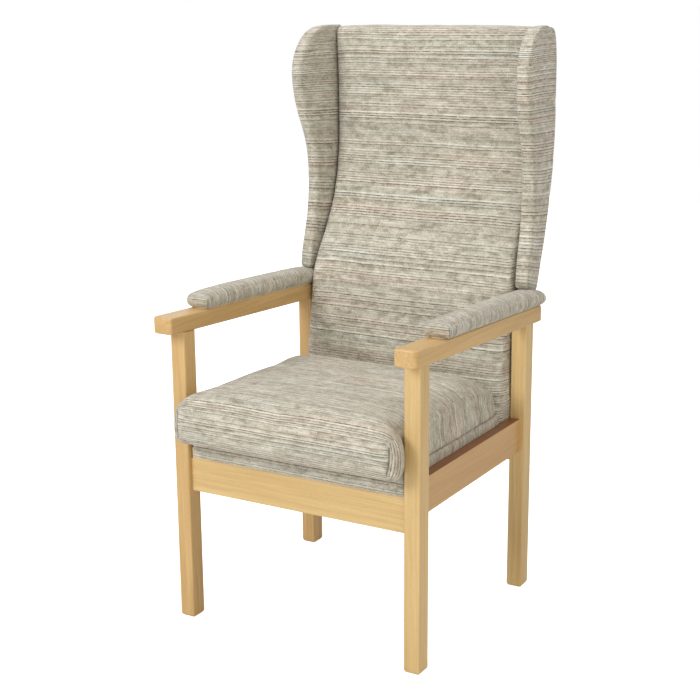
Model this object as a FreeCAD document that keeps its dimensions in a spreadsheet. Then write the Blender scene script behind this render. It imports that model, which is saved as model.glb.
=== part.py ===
import FreeCAD, Part
import math
import os
import re
import Sketcher
from FreeCAD import Placement, Rotation, Vector

# High-backed fireside chair with show-wood arms, winged back and a loose seat cushion.
# Millimetres. X runs to the right of somebody who faces the chair, Y to its rear, Z up.
# The origin is on the floor under the middle of the chair.
# Depths in the sheet are measured back from the front face of the front legs.

sizes = [
    ("frontReach", 300.5, "origin to the front face of the front legs"),
    ("frameWidth", 558, "over the outer faces of the legs"),
    ("legWidth", 34, "leg, seen from the front"),
    ("legDepth", 37, "leg, seen from the side"),
    ("rearLegFront", 471, "front face of the rear legs"),
    ("edgeSoft", 3, "sanded edge of the timber"),
    ("footRound", 7, "rounded bottom of each leg"),
    ("armHeight", 606.5, "underside of the arm at the front leg"),
    ("armSlope", 0.042, "fall of the arm to the rear, per mm"),
    ("armThick", 34, "arm rail"),
    ("armWidth", 47, "arm rail"),
    ("armOverhang", 39, "arm in front of the front leg"),
    ("armLength", 558, "arm rail"),
    ("armCorner", 10, "outer front corner of the arm"),
    ("railThick", 22, "front, rear and deck rails"),
    ("frontRailTop", 346, "seat bearer height"),
    ("frontRailHeight", 69, "front rail"),
    ("frontRailSet", 9, "front rail behind the leg face"),
    ("sideRailTop", 380, "side rail"),
    ("sideRailHeight", 72, "side rail"),
    ("sideRailSet", 11.5, "side rail inside the leg face"),
    ("rearRailHeight", 60, "rear rail"),
    ("rearRailSet", 3, "rear rail behind the front of the rear leg"),
    ("dowelSize", 8, "rail dowels"),
    ("dowelReach", 20, "rail dowel in each piece"),
    ("dowelInset", 14, "rail dowel from the rail edge"),
    ("dowelPlay", 0.1, "hole over dowel"),
    ("armDowelSize", 10, "dowel between leg and arm"),
    ("armDowelReach", 22, "arm dowel in each piece"),
    ("blockLeg", 60, "corner block along each rail"),
    ("blockHeight", 40, "corner block"),
    ("screwSize", 4.5, "wood screws"),
    ("screwHead", 9, "countersunk head"),
    ("screwPlay", 0.2, "screw hole over screw"),
    ("deckRailWidth", 45, "deck frame members"),
    ("deckRear", 418, "rear edge of the padded deck"),
    ("deckTop", 400.5, "top of the padded deck"),
    ("deckGap", 1, "deck to the rails at each side"),
    ("deckRound", 11, "rolled top edge of the deck"),
    ("deckFrameRear", 485, "rear edge of the deck frame"),
    ("deckScrewInset", 19, "deck screw inside the block's corner"),
    ("coverThick", 1.5, "upholstery fabric"),
    ("springWire", 3.4, "zigzag spring wire"),
    ("springLoop", 18, "half width of a zigzag loop"),
    ("springPitch", 22, "one loop to the next"),
    ("springSpacing", 92, "one spring to the next"),
    ("springCount", 5, "zigzag springs"),
    ("springOnRail", 26, "spring resting on each deck rail"),
    ("hessianThick", 1.4, "hessian over the springs"),
    ("dustThick", 0.8, "dust cover under the deck"),
    ("backHalf", 236.7, "half width of the back between the wings"),
    ("seatHalf", 243.2, "half width of the back between the legs"),
    ("backCrown", 8, "front of the back swells in the middle"),
    ("backFoam", 40, "foam in front of the back frame"),
    ("backTop", 1184.5, "top of the back"),
    ("stileThick", 24, "back stile"),
    ("stileOuter", 235, "outer face of the back stile"),
    ("stileTop", 1138, "top of the back frame"),
    ("stileInset", 8, "stile inside the rear surface"),
    ("railDeep", 60, "bottom and top rails of the back"),
    ("lumbarDeep", 50, "lumbar rail of the back"),
    ("lumbarSet", 3, "lumbar rail behind the stile's front"),
    ("webThick", 1.5, "back webbing"),
    ("webWide", 50, "back webbing"),
    ("backBase", 372, "bottom of the back"),
    ("backDowelSize", 10, "dowels from rear leg to stile"),
    ("backDowelReach", 14, "dowel in the stile"),
    ("backDowelSet", 23, "those dowels behind the front of the rear leg"),
    ("wingInner", 237, "wing seam beside the back"),
    ("wingSeamDepth", 570, "depth of that seam at head height"),
    ("wingSplay", 7, "wing opens to the front, degrees"),
    ("wingThick", 27, "padded wing"),
    ("wingBoardThick", 9, "plywood inside the wing"),
    ("wingBoardInset", 7, "board inside the wing outline"),
    ("wingRound", 8, "rolled edge of the wing"),
    ("wingToeClear", 6, "front lower corner of the wing over the arm pad"),
    ("wingHeelClear", -1, "rear lower corner of the wing over the level of the arm pad"),
    ("wingBoltSize", 6, "bolts through stile and wing board"),
    ("wingBoltHead", 12, "bolt head and nut, across"),
    ("padStart", 83, "front of the arm pad"),
    ("padEnd", 527, "rear of the arm pad"),
    ("padHeight", 35, "arm pad"),
    ("padProud", 0.8, "arm pad beyond the arm at each side"),
    ("padRound", 12, "rolled edge of the arm pad"),
    ("padBoardThick", 9, "board under the arm pad"),
    ("padBoardInset", 2, "board inside the cover all round"),
    ("cushionSwell", 4, "sides of the cushion belly out"),
    ("cushionCrown", 15, "top of the cushion swells in the middle"),
    ("zipLength", 360, "zip along the rear of the cushion"),
    ("zipWide", 7, "zip"),
    ("zipThick", 1.4, "zip"),
]

# Heights of the back with the depth of its front and rear surfaces and its half widths there.
backStations = [
    ("base", 380, 428, 505, "seatHalf", "seatHalf"),
    ("seat", 476, 440, 512, "seatHalf", "seatHalf"),
    ("loin", 560, 452, 528, "seatHalf", "seatHalf"),
    ("waist", 640, 466, 555, "seatHalf", "backHalf + 1"),
    ("lumbar", 700, 488, 585, "backHalf + 2", "backHalf"),
    ("rib", 760, 522, 609, "backHalf", "backHalf"),
    ("chest", 820, 552, 630, "backHalf", "backHalf"),
    ("shoulder", 880, 569, 647, "backHalf", "backHalf"),
    ("neck", 960, 574, 657, "backHalf", "backHalf"),
    ("head", 1060, 572, 656, "backHalf", "backHalf"),
    ("crown", 1140, 569, 650, "backHalf", "backHalf"),
]
for name, height, front, rear, halfFront, halfRear in backStations:
    sizes.append((name + "Height", height, "back station"))
    sizes.append((name + "Front", front, "front surface there"))
    sizes.append((name + "Rear", rear, "rear surface there"))

# Outline of the wing, front edge from the bottom up and rear edge from the top down.
wingMarks = [
    ("wingToe", 468, None),
    ("wingHeel", 556, None),
    ("wingBackbone", 656, 960),
    ("wingNape", 652, 1140),
    ("wingTopRear", 610, 1182.5),
    ("wingTopFront", 545, 1182.5),
    ("wingEar", 452, 1085),
    ("wingNeck", 476, 975),
    ("wingWaist", 500, 880),
]
for name, place, height in wingMarks:
    sizes.append((name + "Depth", place, "wing outline"))
    if height:
        sizes.append((name + "Height", height, "wing outline"))

# Depth along the cushion with its half width, underside, top edge and share of the crown.
cushionStations = [
    ("lip", -58, 222, 409, 462, 0.25),
    ("nose", -51, 238, 397, 475, 0.6),
    ("swell", -30, 245, 389, 480, 0.9),
    ("step", -8, 241, 395, 479, 1),
    ("leg", 8, 239.5, 401.2, 478, 1),
    ("lap", 60, 239.5, 401.2, 478, 1),
    ("middle", 210, 239.5, 401.2, 477, 1),
    ("hip", 350, 239.5, 401.2, 475, 1),
    ("tail", 404, 237, 402.5, 466, 0.8),
    ("end", 418, 231, 409, 455, 0.5),
]
for name, place, half, bottom, top, crown in cushionStations:
    sizes.append((name + "CushionDepth", place, "cushion station"))
    sizes.append((name + "CushionHalf", half, "half width there"))
    sizes.append((name + "CushionBottom", bottom, "underside there"))
    sizes.append((name + "CushionTop", top, "top edge there"))

doc = FreeCAD.newDocument("FiresideChair")
sheet = doc.addObject("Spreadsheet::Sheet", "Sizes")
for row, (alias, value, note) in enumerate(sizes, 1):
    sheet.set("A%d" % row, alias)
    sheet.set("B%d" % row, str(value))
    sheet.set("C%d" % row, note)
    sheet.setAlias("B%d" % row, alias)
doc.recompute()
aliases = {alias for alias, value, note in sizes}
finished = []


# Expressions, sketches and features

def cells(text):
    return re.sub(r"[A-Za-z]\w*", lambda word: "Sizes." + word.group() if word.group() in aliases else word.group(), text)


def bind(item, prop, text):
    item.setExpression(prop, cells(text))


def depth(text):
    return "(%s - frontReach)" % text


def newBody(label):
    body = doc.addObject("PartDesign::Body", label)
    body.Label = label
    return body


def newSketch(body, role, offset):
    sketch = body.newObject("Sketcher::SketchObject", body.Name + "Sketch")
    plane = [item for item in body.Origin.OriginFeatures if item.Role == role][0]
    sketch.AttachmentSupport = (plane, [""])
    sketch.MapMode = "FlatFace"
    sign = "-" if role == "XZ_Plane" else ""
    bind(sketch, "AttachmentOffset.Base.z", "%s(%s)" % (sign, offset))
    return sketch


def spot(sketch, text):
    return float(sketch.evalExpression(cells(text)))


def outline(sketch, marks):
    """Closed outline through marks (across, up, bow); a bow curves the edge that starts there outwards."""
    spots = [Vector(spot(sketch, mark[0]), spot(sketch, mark[1]), 0) for mark in marks]
    ends = []
    for index, mark in enumerate(marks):
        start = spots[index]
        stop = spots[(index + 1) % len(marks)]
        bow = spot(sketch, mark[2]) if len(mark) > 2 else 0
        if bow == 0:
            sketch.addGeometry(Part.LineSegment(start, stop), False)
            ends.append((1, 2))
            continue
        along = stop - start
        half = along.Length / 2
        radius = (half * half + bow * bow) / (2 * abs(bow))
        outwards = Vector(along.y, -along.x, 0).normalize() * (1 if bow > 0 else -1)
        centre = (start + stop) * 0.5 - outwards * (radius - abs(bow))
        first, last = (start, stop) if bow > 0 else (stop, start)
        firstAngle = math.atan2(first.y - centre.y, first.x - centre.x)
        lastAngle = math.atan2(last.y - centre.y, last.x - centre.x)
        if lastAngle < firstAngle:
            lastAngle += 2 * math.pi
        circle = Part.Circle(centre, Vector(0, 0, 1), radius)
        sketch.addGeometry(Part.ArcOfCircle(circle, firstAngle, lastAngle), False)
        ends.append((1, 2) if bow > 0 else (2, 1))
    for index, mark in enumerate(marks):
        following = (index + 1) % len(marks)
        joint = Sketcher.Constraint("Coincident", index, ends[index][1], following, ends[following][0])
        sketch.addConstraint(joint)
        for kind, text, place in (("DistanceX", mark[0], spots[index].x), ("DistanceY", mark[1], spots[index].y)):
            which = sketch.addConstraint(Sketcher.Constraint(kind, -1, 1, index, ends[index][0], place))
            bind(sketch, "Constraints[%d]" % which, text)
        if len(mark) > 2 and ends[index] and type(sketch.Geometry[index]).__name__ == "ArcOfCircle":
            other = marks[following]
            square = "((%s) - (%s))^2 + ((%s) - (%s))^2" % (other[0], mark[0], other[1], mark[1])
            radius = "((%s) / 4 + (%s)^2) / (2 * abs(%s))" % (square, mark[2], mark[2])
            which = sketch.addConstraint(Sketcher.Constraint("Radius", index, spot(sketch, radius)))
            bind(sketch, "Constraints[%d]" % which, radius)
    return sketch


def slab(label, role, start, thick, marks):
    """Outline on a plane at start, made thick along the positive axis."""
    body = newBody(label)
    sketch = outline(newSketch(body, role, start), marks)
    pad = body.newObject("PartDesign::Pad", label + "Pad")
    pad.Profile = sketch
    pad.Reversed = role == "XZ_Plane"
    bind(pad, "Length", thick)
    doc.recompute()
    return body


def rounded(body, radius, chosen):
    """Fillet on the edges of the body for which chosen(edge) is true."""
    tip = body.Tip
    names = ["Edge%d" % (index + 1) for index, edge in enumerate(tip.Shape.Edges) if chosen(edge)]
    fillet = body.newObject("PartDesign::Fillet", body.Name + "Round")
    fillet.Base = (tip, names)
    bind(fillet, "Radius", radius)
    doc.recompute()
    return body


def runs(edge, axis):
    """True where the edge is straight and runs along the axis."""
    if edge.Curve.TypeId != "Part::GeomLine":
        return False
    return abs(edge.tangentAt(edge.FirstParameter).dot(axis)) > 0.99


def rim(body):
    """The edges round the highest face of the body."""
    top = max(body.Tip.Shape.Faces, key=lambda face: face.CenterOfMass.z)
    return lambda edge: any(edge.isSame(side) for side in top.Edges)


def box(label, low, high):
    body = doc.addObject("Part::Box", label)
    for side, first, last in zip(("Length", "Width", "Height"), low, high):
        bind(body, side, "(%s) - (%s)" % (last, first))
    for side, first in zip("xyz", low):
        bind(body, "Placement.Base." + side, first)
    return body


turns = {"x": Rotation(Vector(0, 1, 0), 90), "y": Rotation(Vector(1, 0, 0), -90), "z": Rotation()}


def rod(label, start, axis, radius, length):
    """Cylinder from the start point along the positive axis."""
    item = doc.addObject("Part::Cylinder", label)
    bind(item, "Radius", radius)
    bind(item, "Height", length)
    item.Placement = Placement(Vector(), turns[axis])
    for side, text in zip("xyz", start):
        bind(item, "Placement.Base." + side, text)
    return item


def peg(label, centre, axis, size, reach, play="0"):
    """Rod centred on a joint, or the hole for it when there is play."""
    start = list(centre)
    which = "xyz".index(axis)
    start[which] = "(%s) - (%s) - (%s)" % (centre[which], reach, play)
    return rod(label, start, axis, "(%s + %s) / 2" % (size, play), "2 * (%s + %s)" % (reach, play))


def group(label, items):
    item = doc.addObject("Part::Compound", label)
    item.Label = label
    item.Links = items
    return item


def cut(label, base, *tools):
    tool = tools[0] if len(tools) == 1 else group(label + "Tools", list(tools))
    item = doc.addObject("Part::Cut", label)
    item.Label = label
    item.Base = base
    item.Tool = tool
    return item


def common(label, base, tool):
    item = doc.addObject("Part::Common", label)
    item.Label = label
    item.Base = base
    item.Tool = tool
    return item


def mirrored(label, source):
    item = doc.addObject("Part::Mirroring", label)
    item.Label = label
    item.Source = source
    item.Normal = (1, 0, 0)
    item.Base = (0, 0, 0)
    return item


def keep(*items):
    finished.extend(items)


def pair(name, right):
    """The right-hand piece and its mirror image, both kept."""
    right.Label = name + "_right"
    keep(right, mirrored(name + "_left", right))


X = Vector(1, 0, 0)
Y = Vector(0, 1, 0)
Z = Vector(0, 0, 1)
slight = 0.01

# Places that several pieces share
inner = "(frameWidth / 2 - legWidth)"
outer = "(frameWidth / 2)"
sideRailOuter = "(%s - sideRailSet)" % outer
sideRailMiddle = "((%s + %s) / 2)" % (inner, sideRailOuter)
frontRailFront = depth("frontRailSet")
frontRailRear = depth("(frontRailSet + railThick)")
frontRailMiddle = depth("(frontRailSet + railThick / 2)")
rearRailFront = depth("(rearLegFront + rearRailSet)")
rearRailRear = depth("(rearLegFront + rearRailSet + railThick)")
rearRailMiddle = depth("(rearLegFront + rearRailSet + railThick / 2)")
rearLegMiddle = "(rearLegFront + legDepth / 2)"


def armUnder(text):
    """Height of the arm's underside at a depth."""
    return "(armHeight - armSlope * (%s))" % text


def armTop(text):
    return "(armHeight + armThick - armSlope * (%s))" % text


# Dowels of the rail joints, each with the hole that it fills

def dowelPair(label, x, y, railTop, railHeight, axis):
    heights = ("%s - dowelInset" % railTop, "%s - %s + dowelInset" % (railTop, railHeight))
    pegs = [peg(label + "Peg", (x, y, height), axis, "dowelSize", "dowelReach") for height in heights]
    holes = [peg(label + "Hole", (x, y, height), axis, "dowelSize", "dowelReach", "dowelPlay") for height in heights]
    return pegs, group(label + "Holes", holes)


frontPegs, frontHoles = dowelPair("FrontRail", inner, frontRailMiddle, "frontRailTop", "frontRailHeight", "x")
rearPegs, rearHoles = dowelPair("RearRail", inner, rearRailMiddle, "frontRailTop", "rearRailHeight", "x")
sideFrontPegs, sideFrontHoles = dowelPair(
    "SideRailFront", sideRailMiddle, depth("legDepth"), "sideRailTop", "sideRailHeight", "y")
sideRearPegs, sideRearHoles = dowelPair(
    "SideRailRear", sideRailMiddle, depth("rearLegFront"), "sideRailTop", "sideRailHeight", "y")
rightPegs = group("RightRailPegs", frontPegs + rearPegs + sideFrontPegs + sideRearPegs)
keep(group("rail_dowels", [rightPegs, mirrored("LeftRailPegs", rightPegs)]))

armPegs = []
armHoles = []
for label, middle in (("FrontArm", "legDepth / 2"), ("RearArm", rearLegMiddle)):
    place = ("(%s + %s) / 2" % (inner, outer), depth(middle), armUnder(middle))
    armPegs.append(peg(label + "Peg", place, "z", "armDowelSize", "armDowelReach"))
    armHoles.append(peg(label + "Hole", place, "z", "armDowelSize", "armDowelReach", "dowelPlay"))
rightArmPegs = group("RightArmPegs", armPegs)
keep(group("arm_dowels", [rightArmPegs, mirrored("LeftArmPegs", rightArmPegs)]))

backLegPegs = []
backLegHoles = []
backDowelDepth = depth("(rearLegFront + backDowelSet)")
for label, height in (("Low", "seatHeight - 56"), ("Middle", "seatHeight - 16"), ("High", "seatHeight + 24")):
    start = ("stileOuter - backDowelReach", backDowelDepth, height)
    length = "%s - stileOuter + 2 * backDowelReach" % inner
    backLegPegs.append(rod("Back%sPeg" % label, start, "x", "backDowelSize / 2", length))
    wide = ("stileOuter - backDowelReach - dowelPlay", backDowelDepth, height)
    backLegHoles.append(
        rod("Back%sHole" % label, wide, "x", "(backDowelSize + dowelPlay) / 2", length + " + 2 * dowelPlay"))
rightBackPegs = group("RightBackPegs", backLegPegs)
keep(group("back_leg_dowels", [rightBackPegs, mirrored("LeftBackPegs", rightBackPegs)]))
rightBackHoles = group("RightBackHoles", backLegHoles)
bothBackHoles = group("BothBackHoles", [rightBackHoles, mirrored("LeftBackHoles", rightBackHoles)])


# Show-wood frame

def leg(label, front):
    rear = "(%s + legDepth)" % front
    body = slab(label + "Blank", "YZ_Plane", inner, "legWidth", [
        (depth(front), "0"), (depth(rear), "0"), (depth(rear), armUnder(rear)), (depth(front), armUnder(front))])
    rounded(body, "edgeSoft", lambda edge: runs(edge, Z))
    return rounded(body, "footRound", lambda edge: edge.BoundBox.ZMax < slight)


pair("front_leg", cut("FrontLeg", leg("FrontLeg", "0"), frontHoles, sideFrontHoles, armHoles[0]))
pair("rear_leg", cut("RearLeg", leg("RearLeg", "rearLegFront"), rearHoles, sideRearHoles, armHoles[1], rightBackHoles))

armBody = slab("ArmBlank", "YZ_Plane", inner, "armWidth", [
    (depth("-armOverhang"), armUnder("-armOverhang")),
    (depth("(armLength - armOverhang)"), armUnder("armLength - armOverhang")),
    (depth("(armLength - armOverhang)"), armTop("armLength - armOverhang")),
    (depth("-armOverhang"), armTop("-armOverhang"))])
armEnds = armBody.Shape.BoundBox
rounded(armBody, "armCorner", lambda edge: runs(edge, Z) and (
    edge.BoundBox.YMax < armEnds.Center.y and edge.BoundBox.XMin > armEnds.Center.x))
rounded(armBody, "edgeSoft + 2", lambda edge: runs(edge, Z) and (
    edge.BoundBox.YMin > armEnds.YMax - slight or edge.BoundBox.XMax < armEnds.XMin + slight))
rounded(armBody, "edgeSoft + 1", lambda edge: not runs(edge, Z))
padScrews = []
padScrewHoles = []


def screw(label, x, y, bottom, length, play):
    """Countersunk screw that points up, its head at the bottom, or the hole for it."""
    shank = rod(label + "Shank", (x, y, bottom), "z", "screwSize / 2 + %s" % play, length)
    head = doc.addObject("Part::Cone", label + "Head")
    bind(head, "Radius1", "screwHead / 2 + %s" % play)
    bind(head, "Radius2", "screwSize / 2 + %s" % play)
    bind(head, "Height", "screwHead / 3")
    for side, text in zip("xyz", (x, y, bottom)):
        bind(head, "Placement.Base." + side, text)
    item = doc.addObject("Part::Fuse", label)
    item.Base = shank
    item.Tool = head
    return item


armCentre = "(%s + armWidth / 2)" % inner
for label, share in (("FrontPad", "0.2"), ("MidPad", "0.5"), ("RearPad", "0.75")):
    where = "(padStart + (padEnd - padStart) * %s)" % share
    length = "armThick + padBoardThick * 0.6"
    padScrews.append(screw(label + "Screw", armCentre, depth(where), armUnder(where), length, "0"))
    padScrewHoles.append(screw(label + "ScrewHole", armCentre, depth(where), armUnder(where), length, "screwPlay"))
rightPadScrews = group("RightPadScrews", padScrews)
keep(group("arm_pad_screws", [rightPadScrews, mirrored("LeftPadScrews", rightPadScrews)]))
pair("arm", cut("Arm", armBody, *(armHoles + padScrewHoles)))

frontRailBody = slab("FrontRailBlank", "YZ_Plane", "-" + inner, "2 * " + inner, [
    (frontRailFront, "frontRailTop - frontRailHeight"), (frontRailRear, "frontRailTop - frontRailHeight"),
    (frontRailRear, "frontRailTop"), (frontRailFront, "frontRailTop")])
rounded(frontRailBody, "edgeSoft / 2", lambda edge: runs(edge, X))
keep(cut("front_rail", frontRailBody, frontHoles, mirrored("FrontHolesLeft", frontHoles)))

rearRailBody = slab("RearRailBlank", "YZ_Plane", "-" + inner, "2 * " + inner, [
    (rearRailFront, "frontRailTop - rearRailHeight"), (rearRailRear, "frontRailTop - rearRailHeight"),
    (rearRailRear, "frontRailTop"), (rearRailFront, "frontRailTop")])
rounded(rearRailBody, "edgeSoft / 2", lambda edge: runs(edge, X))
keep(cut("rear_rail", rearRailBody, rearHoles, mirrored("RearHolesLeft", rearHoles)))

sideRailBody = slab("SideRailBlank", "XZ_Plane", depth("legDepth"), "rearLegFront - legDepth", [
    (inner, "sideRailTop - sideRailHeight"), (sideRailOuter, "sideRailTop - sideRailHeight"),
    (sideRailOuter, "sideRailTop"), (inner, "sideRailTop")])
rounded(sideRailBody, "edgeSoft / 2", lambda edge: runs(edge, Y))
pair("side_rail", cut("SideRail", sideRailBody, sideFrontHoles, sideRearHoles))

# Corner blocks, glued between the rails, and the screws that hold the deck down
deckScrews = []
blockBottom = "(frontRailTop - blockHeight)"
for name, face, sign in (("front", frontRailRear, "+"), ("rear", rearRailFront, "-")):
    tip = "(%s %s blockLeg)" % (face, sign)
    marks = [("%s - blockLeg" % inner, face), (inner, face), (inner, tip)]
    if sign == "-":
        marks.reverse()
    block = slab(name.capitalize() + "BlockBlank", "XY_Plane", blockBottom, "blockHeight", marks)
    x = "%s - deckScrewInset" % inner
    y = "%s %s deckScrewInset" % (face, sign)
    length = "blockHeight + railThick * 0.7"
    deckScrews.append(screw(name + "DeckScrew", x, y, blockBottom, length, "0"))
    hole = screw(name + "DeckScrewHole", x, y, blockBottom, length, "screwPlay")
    pair(name + "_corner_block", cut(name.capitalize() + "Block", block, hole))
    deckScrews.append(hole)
rightDeckScrews = group("RightDeckScrews", [deckScrews[0], deckScrews[2]])
keep(group("deck_screws", [rightDeckScrews, mirrored("LeftDeckScrews", rightDeckScrews)]))
rightDeckHoles = group("RightDeckHoles", [deckScrews[1], deckScrews[3]])
deckHoles = group("DeckHoles", [rightDeckHoles, mirrored("LeftDeckHoles", rightDeckHoles)])

# Sprung seat deck: timber frame, zigzag springs, hessian, foam and a fitted cover
deckHalf = "(%s - deckGap)" % inner
deckInnerHalf = "(%s - coverThick)" % deckHalf
deckFrameFront = "(frontRailSet + coverThick)"
deckFrameTop = "(frontRailTop + railThick)"
deckBack = "(deckFrameRear - deckRailWidth)"


def deckMember(label, low, high):
    return box(label, low + ("frontRailTop",), high + (deckFrameTop,))


keep(cut("deck_front_rail", deckMember("DeckFrontBlank", ("-" + deckInnerHalf, depth(deckFrameFront)),
                                       (deckInnerHalf, depth(deckFrameFront + " + deckRailWidth"))), deckHoles))
keep(cut("deck_rear_rail", deckMember("DeckRearBlank", ("-" + deckInnerHalf, depth(deckBack)),
                                      (deckInnerHalf, depth("deckFrameRear"))), deckHoles))
deckSide = deckMember("DeckSide", (deckInnerHalf + " - deckRailWidth", depth(deckFrameFront + " + deckRailWidth")),
                      (deckInnerHalf, depth(deckBack)))
pair("deck_side_rail", deckSide)


def deckShape(label, inset, bottom):
    """The padded deck, drawn in by inset, with its top edges rolled over."""
    body = slab(label, "XY_Plane", bottom, "deckTop - %s - (%s)" % (inset, bottom), [
        ("-%s + %s" % (deckHalf, inset), depth("(frontRailSet + %s)" % inset)),
        ("%s - %s" % (deckHalf, inset), depth("(frontRailSet + %s)" % inset)),
        ("%s - %s" % (deckHalf, inset), depth("(deckRear - %s)" % inset)),
        ("-%s + %s" % (deckHalf, inset), depth("(deckRear - %s)" % inset))])
    return rounded(body, "deckRound - %s" % inset, rim(body))


hessianTop = "(%s + springWire + hessianThick)" % deckFrameTop
deckOpening = box("DeckOpening", ("-" + deckInnerHalf, depth("(deckRear - coverThick - 1)"), "frontRailTop - 1"),
                  (deckInnerHalf, depth("(deckRear + 1)"), "%s + springWire" % deckFrameTop))
keep(cut("deck_cover", deckShape("DeckOuter", "0", "frontRailTop"),
         deckShape("DeckInner", "coverThick", "frontRailTop"), deckOpening))
deckFoam = deckShape("deck_foam", "coverThick", hessianTop)
keep(deckFoam)
keep(box("spring_hessian", ("-%s + 1" % deckInnerHalf, depth("(%s + 1)" % deckFrameFront),
                            "%s + springWire" % deckFrameTop),
         ("%s - 1" % deckInnerHalf, depth("(deckRear - coverThick - 1)"), hessianTop)))

dustHalf = "(%s - 1)" % deckInnerHalf
dustFront = "(frontRailSet + railThick + 1)"
dustRear = "(rearLegFront + rearRailSet - 1)"
dustCover = slab("dust_cover", "XY_Plane", "frontRailTop - dustThick", "dustThick", [
    ("-%s + blockLeg" % dustHalf, depth(dustFront)), ("%s - blockLeg" % dustHalf, depth(dustFront)),
    (dustHalf, depth("(%s + blockLeg)" % dustFront)), (dustHalf, depth("(%s - blockLeg)" % dustRear)),
    ("%s - blockLeg" % dustHalf, depth(dustRear)), ("-%s + blockLeg" % dustHalf, depth(dustRear)),
    ("-" + dustHalf, depth("(%s - blockLeg)" % dustRear)), ("-" + dustHalf, depth("(%s + blockLeg)" % dustFront))])
keep(dustCover)


def zigzagSprings():
    """Serpentine springs across the deck, each one flat wire of half loops and straight legs."""
    wire = sheet.get("springWire") / 2
    loop = sheet.get("springLoop")
    pitch = sheet.get("springPitch")
    setback = sheet.get("frontReach")
    front = sheet.get("frontRailSet") + sheet.get("coverThick") + sheet.get("deckRailWidth") - sheet.get("springOnRail")
    rear = sheet.get("deckFrameRear") - sheet.get("deckRailWidth") + sheet.get("springOnRail")
    loops = int((rear - front) / pitch)
    pitch = (rear - front) / loops
    bend = pitch / 2
    height = sheet.get("frontRailTop") + sheet.get("railThick") + wire
    count = int(sheet.get("springCount"))
    springs = []
    for index in range(count):
        middle = (index - (count - 1) / 2) * sheet.get("springSpacing")
        edges = []
        start = Vector(middle, front - setback, height)
        side = 1
        for turn in range(loops):
            reach = Vector(middle + side * (loop - bend), start.y, height)
            edges.append(Part.LineSegment(start, reach).toShape())
            far = Vector(reach.x, start.y + pitch, height)
            crest = Vector(reach.x + side * bend, start.y + bend, height)
            edges.append(Part.Arc(reach, crest, far).toShape())
            start = Vector(middle, far.y, height)
            edges.append(Part.LineSegment(far, start).toShape())
            side = -side
        path = Part.Wire(edges)
        ring = Part.Wire(Part.Circle(Vector(middle, front - setback, height), X, wire).toShape())
        springs.append(path.makePipeShell([ring], True, False))
    return Part.makeCompound([spring if spring.ShapeType == "Solid" else spring.Solids[0] for spring in springs])


springs = doc.addObject("Part::Feature", "seat_springs")
springs.Shape = zigzagSprings()
keep(springs)


# Back: curved stiles and rails, webbing, foam and covers

def stileLine(shift, rearShift=None):
    """Outline of the stile, with its front moved by shift and its rear by rearShift."""
    front = "backFoam + coverThick + %s" % shift
    rear = rearShift or "-stileInset"
    bottom = "backBase + coverThick"
    low = "(baseFront - (waistFront - baseFront) / (waistHeight - baseHeight) * (baseHeight - backBase - coverThick))"
    return [
        (depth("(%s + %s)" % (low, front)), bottom),
        (depth("(baseRear + %s)" % rear), bottom),
        (depth("(seatRear + %s)" % rear), "seatHeight"),
        (depth("(loinRear + %s)" % rear), "loinHeight"),
        (depth("(waistRear + %s)" % rear), "waistHeight", "-4"),
        (depth("(ribRear + %s)" % rear), "ribHeight", "5"),
        (depth("(neckRear + %s)" % rear), "shoulderHeight + 40"),
        (depth("(crownRear + %s)" % rear), "stileTop"),
        (depth("(crownFront + %s)" % front), "stileTop"),
        (depth("(shoulderFront + %s)" % front), "shoulderHeight", "-5"),
        (depth("(ribFront + %s)" % front), "ribHeight", "5"),
        (depth("(waistFront + %s)" % front), "waistHeight")]


def backSection(body, index, inset):
    name, height, front, rear, halfFront, halfRear = backStations[index]
    sketch = newSketch(body, "XY_Plane", name + "Height")
    outline(sketch, [
        ("-(%s - %s)" % (halfFront, inset), depth("(%sFront + %s)" % (name, inset)), "backCrown"),
        ("%s - %s" % (halfFront, inset), depth("(%sFront + %s)" % (name, inset))),
        ("%s - %s" % (halfRear, inset), depth("(%sRear - %s)" % (name, inset)), "backCrown / 4"),
        ("-(%s - %s)" % (halfRear, inset), depth("(%sRear - %s)" % (name, inset)))])
    return sketch


def backEnd(body, height, name, inset, drawn, half):
    """Section at the top or bottom of the back, drawn in where the cover rolls over."""
    sketch = newSketch(body, "XY_Plane", height)
    outline(sketch, [
        ("-(%s - %s)" % (half, drawn), depth("(%sFront + %s + %s)" % (name, inset, drawn)), "backCrown / 2"),
        ("%s - %s" % (half, drawn), depth("(%sFront + %s + %s)" % (name, inset, drawn))),
        ("%s - %s" % (half, drawn), depth("(%sRear - %s - %s)" % (name, inset, drawn)), "backCrown / 8"),
        ("-(%s - %s)" % (half, drawn), depth("(%sRear - %s - %s)" % (name, inset, drawn)))])
    return sketch


def backShape(label, inset):
    body = newBody(label)
    sections = [backEnd(body, "backBase + %s" % inset, "base", inset, "4", "seatHalf - %s" % inset)]
    sections += [backSection(body, index, inset) for index in range(len(backStations))]
    sections.append(backEnd(body, "backTop - 12 - %s / 2" % inset, "crown", inset, "4", "backHalf - %s" % inset))
    sections.append(backEnd(body, "backTop - %s" % inset, "crown", inset, "20", "backHalf + 14 - %s" % inset))
    doc.recompute()
    loft = body.newObject("PartDesign::AdditiveLoft", label + "Loft")
    loft.Profile = sections[0]
    loft.Sections = sections[1:]
    loft.Ruled = True
    doc.recompute()
    return body


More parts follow.
